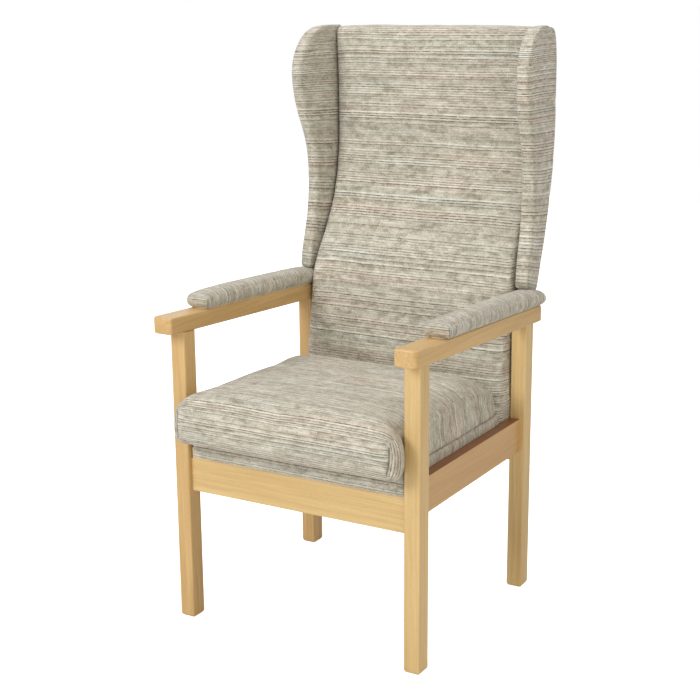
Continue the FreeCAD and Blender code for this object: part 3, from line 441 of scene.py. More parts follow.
def grainGroup():
    group, given, result = newGroup(
        "straightGrain",
        [("Place", "Vector", None), ("Pale", "Color", (0.70, 0.50, 0.25, 1)),
         ("Deep", "Color", (0.56, 0.36, 0.16, 1)), ("Contrast", "Float", 1.0)], patternOutputs)
    x, y, z = splitUp(group, given.outputs["Place"])
    slow = noiseOf(group, scaled(group, (x, y, z), grain["slow"]), 1.0, 3.0)
    swing = maths(group, "MULTIPLY", slow, grain["swing"])
    swung = maths(group, "ADD", x, swing), maths(group, "ADD", y, swing), z
    fibres = noiseOf(group, scaled(group, swung, grain["fibres"]), 1.0, 4.0, 0.6)
    pores = noiseOf(group, scaled(group, (x, y, z), grain["pores"]), 1.0, 1.0)
    pores = stretch(group, pores, 0.62, 0.74)
    tone = maths(group, "MULTIPLY_ADD", fibres, 0.7, maths(group, "MULTIPLY", slow, 0.6))
    tone = maths(group, "SUBTRACT", stretch(group, tone, 0.42, 0.88), 0.5)
    tone = maths(group, "MULTIPLY_ADD", tone, given.outputs["Contrast"], 0.5)
    colour = tint(group, "MIX", tone, given.outputs["Deep"], given.outputs["Pale"])
    colour = tint(group, "MIX", maths(group, "MULTIPLY", pores, 0.16), colour, grain["poreColour"])
    height = maths(group, "MULTIPLY_ADD", pores, -0.5, fibres)
    join(group, (colour, result.inputs["Color"]), (height, result.inputs["Height"]),
         (stretch(group, fibres, 0.3, 0.7, 0.34, 0.44), result.inputs["Roughness"]))
    return group


straightGrain = grainGroup()
timber = {  # pale and deep colours, contrast, coat of lacquer, added roughness
    "pale": ((0.745, 0.545, 0.262, 1), (0.585, 0.395, 0.165, 1), 1.1, 0.20, 0.0),
    "honey": ((0.675, 0.455, 0.200, 1), (0.500, 0.305, 0.115, 1), 1.2, 0.20, 0.0),
    "tawny": ((0.650, 0.415, 0.185, 1), (0.510, 0.300, 0.120, 1), 1.0, 0.20, 0.0),
    "planed": ((0.72, 0.60, 0.42, 1), (0.56, 0.42, 0.27, 1), 1.2, 0.0, 0.3),
    "plywood": ((0.76, 0.63, 0.45, 1), (0.60, 0.46, 0.30, 1), 1.5, 0.0, 0.3),
}
grainTurns = {"upright": (0, 0, 0), "deep": (math.pi / 2, 0, 0), "wide": (0, math.pi / 2, 0)}


def timberMaterial(kind, way, paintedShadeTop=False):
    pale, dark, contrast, coat, rough = timber[kind]
    material, tree, wood = principled(
        kind + way.capitalize() + ("Rail" if paintedShadeTop else ""),
        in_Coat_Weight=coat, in_Coat_Roughness=0.22, in_Specular_IOR_Level=0.35)
    where = add(tree, "ShaderNodeTexCoord")
    turned = add(tree, "ShaderNodeMapping", in_Rotation=grainTurns[way])
    fibres = add(tree, "ShaderNodeGroup", node_tree=straightGrain, in_Pale=pale, in_Deep=dark,
                 in_Contrast=contrast)
    colour = fibres.outputs["Color"]
    if paintedShadeTop:
        # painted shade: darker on the faces that look up, for the shadow that lies on the rail's top
        face = add(tree, "ShaderNodeNewGeometry")
        upward = stretch(tree, splitUp(tree, face.outputs["Normal"])[2], 0.25, 0.80)
        colour = tint(tree, "MULTIPLY", upward, colour, grain["topShadeColour"])
    join(tree, (where.outputs["Object"], turned.inputs["Vector"]),
         (turned.outputs[0], fibres.inputs["Place"]), (colour, wood.inputs["Base Color"]),
         (maths(tree, "ADD", fibres.outputs["Roughness"], rough), wood.inputs["Roughness"]))
    raised(tree, wood, fibres.outputs["Height"], 0.12, 0.0004)
    return material


def mottledMaterial(name, pale, dark, scale, roughness, metallic, height, distance):
    # foam, wire, zinc and lining: an even colour broken up by fine noise
    material, tree, surface = principled(name, in_Metallic=metallic)
    where = add(tree, "ShaderNodeTexCoord")
    fine = noiseOf(tree, where.outputs["Object"], scale, 4.0, 0.65)
    colour = tint(tree, "MIX", stretch(tree, fine, 0.3, 0.7), (*dark, 1), (*pale, 1))
    spread = stretch(tree, fine, 0.3, 0.7, roughness - 0.06, roughness + 0.06)
    join(tree, (colour, surface.inputs["Base Color"]), (spread, surface.inputs["Roughness"]))
    raised(tree, surface, fine, height, distance)
    return material


def wovenMaterial(name, pale, dark, pitch):
    # plain weave, for hessian, webbing and tape
    material, tree, surface = principled(name, in_Roughness=0.9)
    where = add(tree, "ShaderNodeTexCoord")
    x, y, z = splitUp(tree, where.outputs["Object"])
    waves = [maths(tree, "SINE", maths(tree, "MULTIPLY", place, 2 * math.pi / pitch))
             for place in (x, maths(tree, "ADD", y, z))]
    uneven = noiseOf(tree, where.outputs["Object"], 220.0, 3.0)
    tone = maths(tree, "MULTIPLY_ADD", maths(tree, "MULTIPLY", *waves), 0.25, uneven)
    colour = tint(tree, "MIX", stretch(tree, tone, 0.1, 0.9), (*dark, 1), (*pale, 1))
    join(tree, (colour, surface.inputs["Base Color"]))
    raised(tree, surface, tone, 0.5, 0.0008)
    return material


fabric = {name: chenilleMaterial("chenille" + name, slide) for name, slide in (
    ("Back", 0.0), ("OutsideBack", 0.411), ("WingLeft", 0.713), ("WingRight", 1.19),
    ("Cushion", 1.523), ("Deck", 2.07), ("PadLeft", 2.551), ("PadRight", 2.93))}
beech = {(kind, way): timberMaterial(kind, way) for kind in ("pale", "honey") for way in grainTurns}
# side rails, with painted shade on their top faces
railWithPaintedShade = timberMaterial("tawny", "deep", paintedShadeTop=True)
planed = {way: timberMaterial("planed", way) for way in grainTurns}
plywood = timberMaterial("plywood", "upright")
zinc = mottledMaterial(
    "zincPlate", (0.66, 0.66, 0.68), (0.5, 0.5, 0.53), 260.0, 0.35, 1.0, 0.15, 0.0002)
springWire = mottledMaterial(
    "springWire", (0.30, 0.30, 0.31), (0.16, 0.16, 0.17), 300.0, 0.42, 1.0, 0.2, 0.0002)
foam = mottledMaterial(
    "cutFoam", (0.88, 0.84, 0.68), (0.76, 0.71, 0.54), 900.0, 0.95, 0.0, 0.6, 0.0009)
lining = mottledMaterial(
    "blackLining", (0.060, 0.060, 0.064), (0.022, 0.022, 0.025), 1400.0, 0.88, 0.0, 0.5, 0.0005)
hessian = wovenMaterial("hessian", (0.62, 0.50, 0.33), (0.36, 0.27, 0.16), 0.0022)
webbing = wovenMaterial("juteWebbing", (0.66, 0.56, 0.40), (0.40, 0.31, 0.20), 0.0030)
zipTape = wovenMaterial("zipTape", (0.62, 0.58, 0.50), (0.44, 0.40, 0.33), 0.0008)

nodeLooks = [
    (beech["honey", "upright"], ["front_leg_left", "rear_leg_left"]),
    (beech["pale", "upright"], ["front_leg_right", "rear_leg_right"]),
    (beech["honey", "deep"], ["arm_left", "arm_right"]),
    (beech["pale", "wide"], ["front_rail"]),
    (beech["honey", "wide"], ["rear_rail"]),
    (railWithPaintedShade, ["side_rail_left", "side_rail_right"]),
    (planed["upright"], ["front_corner_block_left", "front_corner_block_right", "rear_corner_block_left",
                         "rear_corner_block_right", "back_stile_left", "back_stile_right",
                         "wing_packer_left", "wing_packer_right", "arm_dowels"]),
    (planed["wide"], ["rail_dowels", "back_leg_dowels", "back_rail_dowels", "deck_front_rail",
                      "deck_rear_rail", "back_bottom_rail", "back_lumbar_rail", "back_top_rail"]),
    (planed["deep"], ["deck_side_rail_left", "deck_side_rail_right"]),
    (plywood, ["wing_board_left", "wing_board_right", "arm_pad_board_left", "arm_pad_board_right"]),
    (zinc, ["arm_pad_screws", "deck_screws", "wing_bolts"]),
    (springWire, ["seat_springs"]),
    (hessian, ["spring_hessian"]),
    (webbing, ["back_webbing"]),
    # solids that padding, zip and lining stand for further down
    (fabric["Deck"], ["deck_cover"]),
    (fabric["Back"], ["inside_back_cover"]),
    (fabric["OutsideBack"], ["outside_back_cover"]),
    (fabric["WingLeft"], ["wing_cover_left"]),
    (fabric["WingRight"], ["wing_cover_right"]),
    (fabric["PadLeft"], ["arm_pad_cover_left"]),
    (fabric["PadRight"], ["arm_pad_cover_right"]),
    (fabric["Cushion"], ["cushion_cover"]),
    (foam, ["cushion_foam", "deck_foam", "back_foam", "wing_foam_left", "wing_foam_right",
            "arm_pad_foam_left", "arm_pad_foam_right"]),
    (lining, ["dust_cover"]),
    (zipTape, ["cushion_zip"]),
]
for material, names in nodeLooks:
    for name in names:
        nodes[name].data.materials.clear()
        nodes[name].data.materials.append(material)
print("materials ready")


# Padded work: a gridded box is rolled at its edges, shaped, swollen as cloth and sewn

def alone(piece):
    bpy.ops.object.select_all(action="DESELECT")
    piece.select_set(True)
    bpy.context.view_layer.objects.active = piece


def settle():
    bpy.ops.object.transform_apply(location=True, rotation=True, scale=True)


def gridBox(name, low, high, cell):
    low, high = Vector(low), Vector(high)
    bpy.ops.object.select_all(action="DESELECT")
    bpy.ops.mesh.primitive_cube_add(size=1, location=(low + high) / 2)
    piece = bpy.context.object
    piece.name = name
    piece.scale = high - low
    settle()
    for axis in range(3):
        cuts = round((high - low)[axis] / cell) - 1
        if cuts < 1:
            continue
        bpy.ops.object.mode_set(mode="EDIT")
        bpy.ops.mesh.select_mode(type="EDGE")
        bpy.ops.mesh.select_all(action="DESELECT")
        mesh = bmesh.from_edit_mesh(piece.data)
        for edge in mesh.edges:
            along = edge.verts[0].co - edge.verts[1].co
            if abs(along[axis]) > 0.99 * along.length:
                edge.select_set(True)
        bmesh.update_edit_mesh(piece.data)
        bpy.ops.mesh.subdivide(number_cuts=cuts, smoothness=0)
        bpy.ops.object.mode_set(mode="OBJECT")
    return piece


def mirrored(piece):
    # right-hand piece made into the left-hand one, its normals outward again
    alone(piece)
    bpy.ops.transform.mirror(constraint_axis=(True, False, False), center_override=(0, 0, 0))
    settle()
    bpy.ops.object.mode_set(mode="EDIT")
    bpy.ops.mesh.select_all(action="SELECT")
    bpy.ops.mesh.normals_make_consistent(inside=False)
    bpy.ops.object.mode_set(mode="OBJECT")


def rolled(point, low, high, radius):
    # a point of a box moved onto the same box with its edges rolled over
    inner = Vector([clamp(point[axis], low[axis] + radius, high[axis] - radius) for axis in range(3)])
    out = point - inner
    return inner + out.normalized() * radius if out.length > 1e-9 else point.copy()


def curveThrough(marks):
    # smooth line through (place, value) marks
    places = [mark[0] for mark in marks]
    values = [mark[1] for mark in marks]
    last = len(marks) - 1
    slopes = []
    for index in range(len(marks)):
        before, after = max(index - 1, 0), min(index + 1, last)
        slopes.append((values[after] - values[before]) / (places[after] - places[before]))

    def value(place):
        place = clamp(place, places[0], places[-1])
        index = 0
        while index < last - 1 and place > places[index + 1]:
            index += 1
        step = places[index + 1] - places[index]
        t = (place - places[index]) / step
        return ((2 * t ** 3 - 3 * t ** 2 + 1) * values[index]
                + (t ** 3 - 2 * t ** 2 + t) * step * slopes[index]
                + (3 * t ** 2 - 2 * t ** 3) * values[index + 1]
                + (t ** 3 - t ** 2) * step * slopes[index + 1])
    return value


def boxSide(places, low, high):
    names = (("left", "right"), ("front", "rear"), ("bottom", "top"))
    for axis in range(3):
        for end, limit in enumerate((low, high)):
            if all(abs(place[axis] - limit[axis]) < 1e-5 for place in places):
                return names[axis][end]
    return "top"


def layCloth(piece, places, low, high, rule):
    layer = piece.data.uv_layers.new(name="cloth")
    for face in piece.data.polygons:
        side = boxSide([places[index] for index in face.vertices], low, high)
        for loop in face.loop_indices:
            layer.data[loop].uv = rule(side, places[piece.data.loops[loop].vertex_index])


def wrapRule(low, high):
    # cloth pulled over the top and down the ends, and down the sides in one with it
    def rule(side, place):
        drop = high[2] - place[2]
        if side == "front":
            return place[0], low[1] - drop
        if side == "rear":
            return place[0], high[1] + drop
        if side in ("left", "right"):
            return drop, place[1]
        return place[0], place[1]
    return rule


def uprightRule(side, place):
    # rows run level all round
    if side in ("left", "right"):
        return place[1], place[2]
    if side in ("top", "bottom"):
        return place[0], place[2] + place[1]
    return place[0], place[2]


clothSettings = {
    "quality": 5,
    "mass": 0.3,
    "tension_stiffness": 15,
    "compression_stiffness": 15,
    "shear_stiffness": 5,
    "bending_stiffness": 0.5,
    "use_pressure": True,
}
simFrames = 20


def swell(piece, pressure, cap, pins=None):
    # cloth simulation, each point held within cap of where it started
    started = [vertex.co.copy() for vertex in piece.data.vertices]
    alone(piece)
    cloth = piece.modifiers.new("cloth", "CLOTH")
    for key, value in clothSettings.items():
        setattr(cloth.settings, key, value)
    cloth.settings.uniform_pressure_force = pressure
    cloth.settings.effector_weights.gravity = 0
    if pins:
        group = piece.vertex_groups.new(name="pins")
        group.add([index for index in range(len(started)) if pins(index)], 1.0, "REPLACE")
        cloth.settings.vertex_group_mass = "pins"
    cloth.point_cache.frame_start = 1
    cloth.point_cache.frame_end = simFrames
    for number in range(1, simFrames + 1):
        scene.frame_set(number)
    bpy.ops.object.modifier_apply(modifier="cloth")
    for vertex, start in zip(piece.data.vertices, started):
        moved = vertex.co - start
        if moved.length > 1e-9:
            vertex.co = start + moved * (cap * math.tanh(moved.length / cap) / moved.length)
    piece.vertex_groups.clear()
    scene.frame_set(1)


seamShadeWidth = 0.55  # as a part of the width that sinks


def sew(piece, places, levels, crumple, clear=None, seams=None):
    # subdivides, sinks the seams and paints shade along them in the seam attribute, adds small unevenness,
    # and keeps clear of the neighbours
    attribute = piece.data.attributes.new("place", "FLOAT_VECTOR", "POINT")
    attribute.data.foreach_set("vector", [value for place in places for value in place])
    alone(piece)
    smooth = piece.modifiers.new("fine", "SUBSURF")
    smooth.levels = smooth.render_levels = levels
    bpy.ops.object.modifier_apply(modifier="fine")
    mesh = piece.data
    flat = [0.0] * (3 * len(mesh.vertices))
    mesh.attributes["place"].data.foreach_get("vector", flat)
    normals = [vertex.normal.copy() for vertex in mesh.vertices]
    height, scale = crumple
    shades = []
    for index, vertex in enumerate(mesh.vertices):
        place = Vector(flat[3 * index:3 * index + 3])
        sink, shade = 0.0, 0.0
        for gap, depth, width in seams(place) if seams else ():
            sink = max(sink, depth * math.exp(-(gap / width) ** 2))
            # painted shade beside the sunk seam, stored in the seam attribute
            shade = max(shade, math.exp(-(gap / (width * seamShadeWidth)) ** 2))
        vertex.co += normals[index] * (height * noise.noise(place * scale) - sink)
        if clear:
            vertex.co = clear(vertex.co)
        shades.append(shade)
    mesh.attributes.remove(mesh.attributes["place"])
    mesh.attributes.new("seam", "FLOAT", "POINT").data.foreach_set("value", shades)
    bpy.ops.object.shade_smooth()


def dress(piece, material, body, slotName, fill, *replaced):
    piece.data.materials.clear()
    piece.data.materials.append(material)
    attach(piece, body)
    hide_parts(*replaced)
    print("piece ready:", piece.name, len(piece.data.vertices))


# Back: heights with the depths of its front and rear, in mm
back = {
    "base": 372, "top": 1184.5,
    "seatHalf": 243.2, "half": 236.7, "narrowsAt": 640, "narrowsOver": 110,
    "boxHalf": 0.24, "boxDepth": 0.08, "cell": 0.0075,
    "roll": 0.011, "baseRoll": 0.003, "rollRise": 0.05, "crown": 0.007,
    "rearInset": 0.0015, "rearLimit": 0.0012, "sideSlack": 0.1,
    "pressure": 1.6, "cap": 0.004, "crumple": (0.0011, 11.0),
    "front": [(372, 427), (476, 440), (560, 452), (640, 466), (700, 488), (760, 522), (820, 552),
              (880, 569), (960, 574), (1060, 572), (1140, 569), (1185, 569)],
    "rear": [(372, 503), (476, 512), (560, 528), (640, 555), (700, 585), (760, 609), (820, 630),
             (880, 647), (960, 657), (1060, 656), (1140, 650), (1185, 648)],
}
backFront = curveThrough(back["front"])
backRear = curveThrough(back["rear"])


def backHalf(height):
    share = ease(clamp((height - back["narrowsAt"]) / back["narrowsOver"]))
    return blend(back["seatHalf"], back["half"], share)


def makeBack():
    boxHalf, boxDepth = back["boxHalf"], back["boxDepth"]
    low = Vector((-boxHalf, 0, back["base"] * mm))
    high = Vector((boxHalf, boxDepth, back["top"] * mm))
    piece = gridBox("back_padding", low, high, back["cell"])
    places = [vertex.co.copy() for vertex in piece.data.vertices]
    for vertex in piece.data.vertices:
        height = vertex.co.z / mm
        half = backHalf(height) * mm
        front, rear = deep(backFront(height)), deep(backRear(height)) - back["rearInset"]
        thick = rear - front
        point = Vector((vertex.co.x / boxHalf * half, vertex.co.y / boxDepth * thick, vertex.co.z))
        radius = blend(back["baseRoll"], back["roll"], min(1, (vertex.co.z - low.z) / back["rollRise"]))
        point = rolled(point, Vector((-half, 0, low.z)), Vector((half, thick, high.z)), radius)
        crown = back["crown"] * (1 - (point.x / half) ** 2) * (1 - point.y / thick)
        vertex.co = Vector((point.x, front + point.y - crown, point.z))
    layCloth(piece, places, low, high, uprightRule)
    swell(piece, back["pressure"], back["cap"], pins=lambda index: places[index].z < low.z + 0.001)

    def clear(co):
        half = (backHalf(co.z / mm) + back["sideSlack"]) * mm
        return Vector((clamp(co.x, -half, half), min(co.y, deep(backRear(co.z / mm)) - back["rearLimit"]),
                       clamp(co.z, low.z, high.z + 0.001)))
    sew(piece, places, 1, back["crumple"], clear)
    dress(piece, fabric["Back"], "frame", "striped_chenille", 0.8, "inside_back_cover", "back_foam")


# Outside back: separate panel closed down the rear edges
panel = {
    "half": 0.236, "bottom": 0.3765, "top": 1.174, "cell": 0.008, "edgeGap": 3.5,
    "boxThick": 0.004, "thick": 0.0036, "inset": 0.0022, "tuck": 0.0022, "tuckWidth": 0.006,
    "crumple": (0.0004, 13.0),
}


def makeOutsideBack():
    low = Vector((-panel["half"], 0, panel["bottom"]))
    high = Vector((panel["half"], panel["boxThick"], panel["top"]))
    piece = gridBox("outside_back_panel", low, high, panel["cell"])
    places = [vertex.co.copy() for vertex in piece.data.vertices]
    for vertex in piece.data.vertices:
        height = vertex.co.z / mm
        half = (backHalf(height) - panel["edgeGap"]) * mm
        edge = min(panel["half"] - abs(vertex.co.x), vertex.co.z - low.z, high.z - vertex.co.z)
        tuck = panel["tuck"] * math.exp(-(edge / panel["tuckWidth"]) ** 2)
        rise = (vertex.co.y / panel["boxThick"]) * (panel["thick"] - tuck)
        base = deep(backRear(height)) - panel["inset"]
        vertex.co = Vector((vertex.co.x / panel["half"] * half, base + rise, vertex.co.z))
    layCloth(piece, places, low, high, uprightRule)
    sew(piece, places, 1, panel["crumple"])
    dress(piece, fabric["OutsideBack"], "frame", "striped_chenille", 0.3, "outside_back_cover")


makeBack()
makeOutsideBack()

# Wings: ear outline as heights with depths in mm, splayed outwards from the seam
wing = {
    "seam": (237.0, 570.0), "seamGap": 0.1, "splay": 7.0, "thick": 0.0282, "length": 0.16, "height": 0.53,
    "roll": 0.0088, "toeRoll": 0.004, "rollRise": 8, "rise": 1.4, "cell": 0.0065,
    "pressure": 1.5, "cap": 0.0022, "crumple": (0.0007, 16.0),
    "top": 1186.5, "ceiling": 1.188, "toe": 656.0, "heel": 638,
    "front": [(630, 474), (700, 478), (740, 486), (782, 494.5), (840, 499.5), (880, 500), (915, 495.5),
              (949, 485.5), (985, 471), (1020, 458.5), (1055, 450), (1087, 447.5), (1113, 451.5),
              (1135, 461), (1156, 478), (1170, 495), (1181, 520), (1187, 552)],
    "rear": [(630, 537), (700, 576), (740, 596), (781, 612), (821, 627.5), (873, 643.5), (925, 655),
             (967, 659), (1030, 659), (1113, 655), (1150, 650), (1172, 641), (1187, 616)],
}
wingFront = curveThrough(wing["front"])
wingRear = curveThrough(wing["rear"])


def makeWing(sideName):
    thick, length, height = wing["thick"], wing["length"], wing["height"]
    seamX, seamDepth = wing["seam"]
    innerX = (seamX + wing["seamGap"]) * mm
    low, high = Vector((0, 0, 0)), Vector((thick, length, height))
    piece = gridBox("wing_" + sideName + "_padding", low, high, wing["cell"])
    places = [vertex.co.copy() for vertex in piece.data.vertices]
    turn = math.radians(wing["splay"])
    for vertex in piece.data.vertices:
        share = vertex.co.y / length
        rise = 1 - (1 - vertex.co.z / height) ** wing["rise"]
        bottom = blend(wing["toe"], wing["heel"], share)
        span = (wing["top"] - bottom) * mm
        level = bottom + span / mm * rise
        wide = (wingRear(level) - wingFront(level)) * mm
        radius = blend(wing["toeRoll"], wing["roll"], min(1, rise * wing["rollRise"]))
        point = Vector((vertex.co.x, share * wide, rise * span))
        point = rolled(point, low, Vector((thick, wide, span)), radius)
        level = bottom + point.z / mm
        local = (wingFront(level) - seamDepth) * mm + point.y
        x = seamX * mm + point.x * math.cos(turn) - local * math.sin(turn)
        y = deep(seamDepth) + point.x * math.sin(turn) + local * math.cos(turn)
        vertex.co = Vector((max(x, innerX), y, level * mm))
    layCloth(piece, places, low, high, uprightRule)
    swell(piece, wing["pressure"], wing["cap"])
    sew(piece, places, 1, wing["crumple"],
        lambda co: Vector((max(co.x, innerX), co.y, min(co.z, wing["ceiling"]))))
    if sideName == "left":
        mirrored(piece)
    dress(piece, fabric["Wing" + sideName.capitalize()], "frame", "striped_chenille", 0.7,
          "wing_cover_" + sideName, "wing_foam_" + sideName)


makeWing("right")
makeWing("left")

# Arm pads, wrapped over the arm tops with folded corners
armPad = {
    "x": (239.5, 300.0), "depth": (77.0, 528.5), "height": 35.0, "edge": 28.5, "cell": 0.0052,
    "roll": 0.014, "lowRoll": 0.006, "tuck": 0.0055, "tuckShare": 0.45, "lift": 0.0002,
    "armTop": 640.5, "fall": 0.042, "foldTop": 0.024, "foldDepth": 0.0015, "foldWidth": 0.0024,
    "pressure": 2.0, "cap": 0.0025, "crumple": (0.0008, 30.0),
}


def armSurface(y):
    return (armPad["armTop"] - armPad["fall"] * (y - legFront) / mm) * mm


def makeArmPad(sideName):
    xLow, xHigh = (x * mm for x in armPad["x"])
    yLow, yHigh = (deep(depth) for depth in armPad["depth"])
    low, high = Vector((xLow, yLow, 0)), Vector((xHigh, yHigh, armPad["edge"] * mm))
    piece = gridBox("arm_pad_" + sideName + "_padding", low, high, armPad["cell"])
    places = [vertex.co.copy() for vertex in piece.data.vertices]
    xMiddle, xHalf = (xLow + xHigh) / 2, (xHigh - xLow) / 2
    yMiddle, yHalf = (low.y + high.y) / 2, (high.y - low.y) / 2
    for vertex in piece.data.vertices:
        share = min(vertex.co.z / high.z, 1)
        point = rolled(vertex.co, low, high, blend(armPad["lowRoll"], armPad["roll"], share))
        drawn = armPad["tuck"] * (1 - min(1, share / armPad["tuckShare"])) ** 2
        point.x -= drawn * (point.x - xMiddle) / xHalf
        point.y -= drawn * (point.y - yMiddle) / yHalf
        ends = 1 - ((point.y - yMiddle) / yHalf) ** 8
        crown = (armPad["height"] - armPad["edge"]) * mm * (1 - ((point.x - xMiddle) / xHalf) ** 2) * ends
        level = armSurface(point.y) + armPad["lift"] + point.z + crown * share
        vertex.co = Vector((point.x, point.y, level))
    layCloth(piece, places, low, high, wrapRule(low, high))
    swell(piece, armPad["pressure"], armPad["cap"])

    def seams(place):
        # folded corners, from the arm up to where the roll begins
        side = min(abs(place.x - xLow), abs(place.x - xHigh))
        end = min(abs(place.y - low.y), abs(place.y - high.y))
        reach = max(place.z - armPad["foldTop"], 0) * 1.5
        return [(math.sqrt(side ** 2 + end ** 2 + reach ** 2), armPad["foldDepth"], armPad["foldWidth"])]

    sew(piece, places, 2, armPad["crumple"],
        lambda co: Vector((co.x, co.y, max(co.z, armSurface(co.y) + armPad["lift"]))), seams)
    if sideName == "left":
        mirrored(piece)
    dress(piece, fabric["Pad" + sideName.capitalize()], "frame", "striped_chenille", 0.8,
          "arm_pad_cover_" + sideName, "arm_pad_foam_" + sideName)


makeArmPad("right")
makeArmPad("left")

# Seat deck under the cushion
deck = {
    "half": 243.9, "front": 8.2, "rear": 428, "bottom": 346.2, "top": 400.3, "cell": 0.008,
    "roll": 0.009, "lowRoll": 0.0025, "backGap": 0.006, "cornerDepth": 0.0012, "cornerWidth": 0.004,
    "sideLimit": 0.2446, "floorLimit": 0.3461, "topLimit": 0.4004, "crumple": (0.0010, 24.0),
}


def makeDeck():
    low = Vector((-deck["half"] * mm, deep(deck["front"]), deck["bottom"] * mm))
    high = Vector((deck["half"] * mm, deep(deck["rear"]), deck["top"] * mm))
    piece = gridBox("seat_deck_padding", low, high, deck["cell"])
    places = [vertex.co.copy() for vertex in piece.data.vertices]
    for vertex in piece.data.vertices:
        share = (vertex.co.z - low.z) / (high.z - low.z)
        vertex.co = rolled(vertex.co, low, high, blend(deck["lowRoll"], deck["roll"], share))
        over = vertex.co.y - deep(backFront(clamp(vertex.co.z / mm, back["base"], 400))) + deck["backGap"]
        if vertex.co.z > back["base"] * mm - 0.0005 and over > 0:
            vertex.co.y -= over
    layCloth(piece, places, low, high, wrapRule(low, high))

    def seams(place):
        side = min(abs(place.x - low.x), abs(place.x - high.x))
        end = min(abs(place.y - low.y), abs(place.y - high.y))
        return [(math.hypot(side, end), deck["cornerDepth"], deck["cornerWidth"])]

    sew(piece, places, 1, deck["crumple"], lambda co: Vector((
        clamp(co.x, -deck["sideLimit"], deck["sideLimit"]), co.y,
        clamp(co.z, deck["floorLimit"], deck["topLimit"]))), seams)
    dress(piece, fabric["Deck"], "frame", "striped_chenille", 0.6, "deck_cover", "deck_foam")


makeDeck()

# Loose seat cushion: depths with half widths, underside and top edge, in mm
cushion = {
    "cell": 0.0062, "boxHalf": 0.245, "boxHeight": 0.080, "front": -60, "rear": 419,
    "topRoll": 0.030, "noseRoll": 0.015, "sideRoll": 0.004, "belly": 0.030, "crown": 12.0,
    "noseEnds": 8, "noseOver": 24, "crownFront": (-62, 50), "crownRear": (424, 70),
    "pressure": 4.0, "cap": 0.005, "crumple": (0.0011, 11.0),
    "seamTop": 0.064, "seamDepth": 0.0028, "seamWidth": 0.0030,
    "betweenArms": 0.2444, "overDeck": 0.4008, "backCrown": 7, "backGap": 2.0,
    "right": [(-60, 241), (-50, 254), (-36, 260), (-20, 258), (-6, 249.5), (4, 243.9), (60, 243.8),
              (350, 243.8), (404, 241), (419, 236)],
    "left": [(-60, 231), (-50, 244), (-36, 250), (-18, 249.5), (-4, 246), (4, 243.8), (60, 243.8),
             (350, 243.8), (404, 241), (419, 236)],
    "bottom": [(-60, 404), (-50, 394), (-36, 387), (-20, 385), (-4, 391), (10, 400.8), (60, 401),
               (350, 401), (400, 401.5), (419, 404)],
    "top": [(-60, 470), (-50, 476), (-36, 481), (-18, 483.5), (10, 484), (120, 483), (300, 480),
            (360, 476), (395, 468), (419, 455)],
}
cushionCurves = {key: curveThrough(cushion[key]) for key in ("right", "left", "bottom", "top")}


def makeCushion():
    low = Vector((-cushion["boxHalf"], deep(cushion["front"]), 0))
    high = Vector((cushion["boxHalf"], deep(cushion["rear"]), cushion["boxHeight"]))
    piece = gridBox("seat_cushion_padding", low, high, cushion["cell"])
    places = [vertex.co.copy() for vertex in piece.data.vertices]
    frontEnd, frontOver = cushion["crownFront"]
    rearEnd, rearOver = cushion["crownRear"]
    for vertex in piece.data.vertices:
        depth = (vertex.co.y - legFront) / mm
        ahead = clamp((cushion["noseEnds"] - depth) / cushion["noseOver"])  # 1 in front of the legs
        share = vertex.co.z / high.z
        lower = blend(cushion["sideRoll"], cushion["noseRoll"], ahead)
        point = rolled(vertex.co, low, high, blend(lower, cushion["topRoll"], share ** 1.5))
        place = (point.y - legFront) / mm
        share = point.z / high.z
        across = point.x / high.x
        half = cushionCurves["right" if across > 0 else "left"](place) * mm
        bottom, top = cushionCurves["bottom"](place), cushionCurves["top"](place)
        draw = 1 - cushion["belly"] * ahead * (2 * share - 1) ** 2
        ends = min(1, max(0, (place - frontEnd) / frontOver), max(0, (rearEnd - place) / rearOver))
        crown = cushion["crown"] * (1 - across ** 4) * ends
        height = blend(bottom, top, share) + crown * share ** 2
        vertex.co = Vector((across * half * draw, point.y, height * mm))
    layCloth(piece, places, low, high, wrapRule(low, high))
    swell(piece, cushion["pressure"], cushion["cap"],
          pins=lambda index: places[index].z < 0.001 and places[index].y > deep(4))

    def seams(place):
        # sewn front corners, from the underside up to the top edge
        side = min(abs(place.x - low.x), abs(place.x - high.x))
        reach = max(place.z - cushion["seamTop"], 0) * 1.5
        gap = math.sqrt(side ** 2 + (place.y - low.y) ** 2 + reach ** 2)
        return [(gap, cushion["seamDepth"], cushion["seamWidth"])]

    def clear(co):
        # between the arms, on the deck and in front of the back
        place = (co.y - legFront) / mm
        height = co.z / mm
        if place > -1:
            co.x = clamp(co.x, -cushion["betweenArms"], cushion["betweenArms"])
        if place > 7:
            co.z = max(co.z, cushion["overDeck"])
        bulge = cushion["backCrown"] * (1 - (co.x / back["boxHalf"]) ** 2)
        limit = deep(backFront(clamp(height, back["base"], 640)) - bulge - cushion["backGap"])
        return Vector((co.x, min(co.y, limit, deep(cushion["rear"] + 0.5)), co.z))
    sew(piece, places, 1, cushion["crumple"], clear, seams)
    dress(piece, fabric["Cushion"], "seat_cushion", "striped_chenille", 0.75,
          "cushion_cover", "cushion_foam")


makeCushion()

# Zip along the rear of the cushion: tape, coil and slider
zipper = {
    "half": 180.0, "depth": 419.6, "height": 432.5, "tape": 7.0, "coil": 1.6, "pitch": 2.4, "end": 4,  # mm
    "tapeFaces": (-0.0009, -0.0002), "tapeCell": 0.0018, "tapeCurl": 0.0007,
    "waveHeight": 0.0004, "waves": 260,
    "tooth": 0.0036, "toothBevel": 0.00025, "toothLift": 0.0002,
    "sliderLength": 0.009, "sliderHalf": 0.0036, "sliderFaces": (-0.0004, 0.0026), "sliderCell": 0.0012,
    "sliderWaist": 0.62, "sliderCurl": 0.0009,
}
zipRear, zipLevel = deep(zipper["depth"]), zipper["height"] * mm


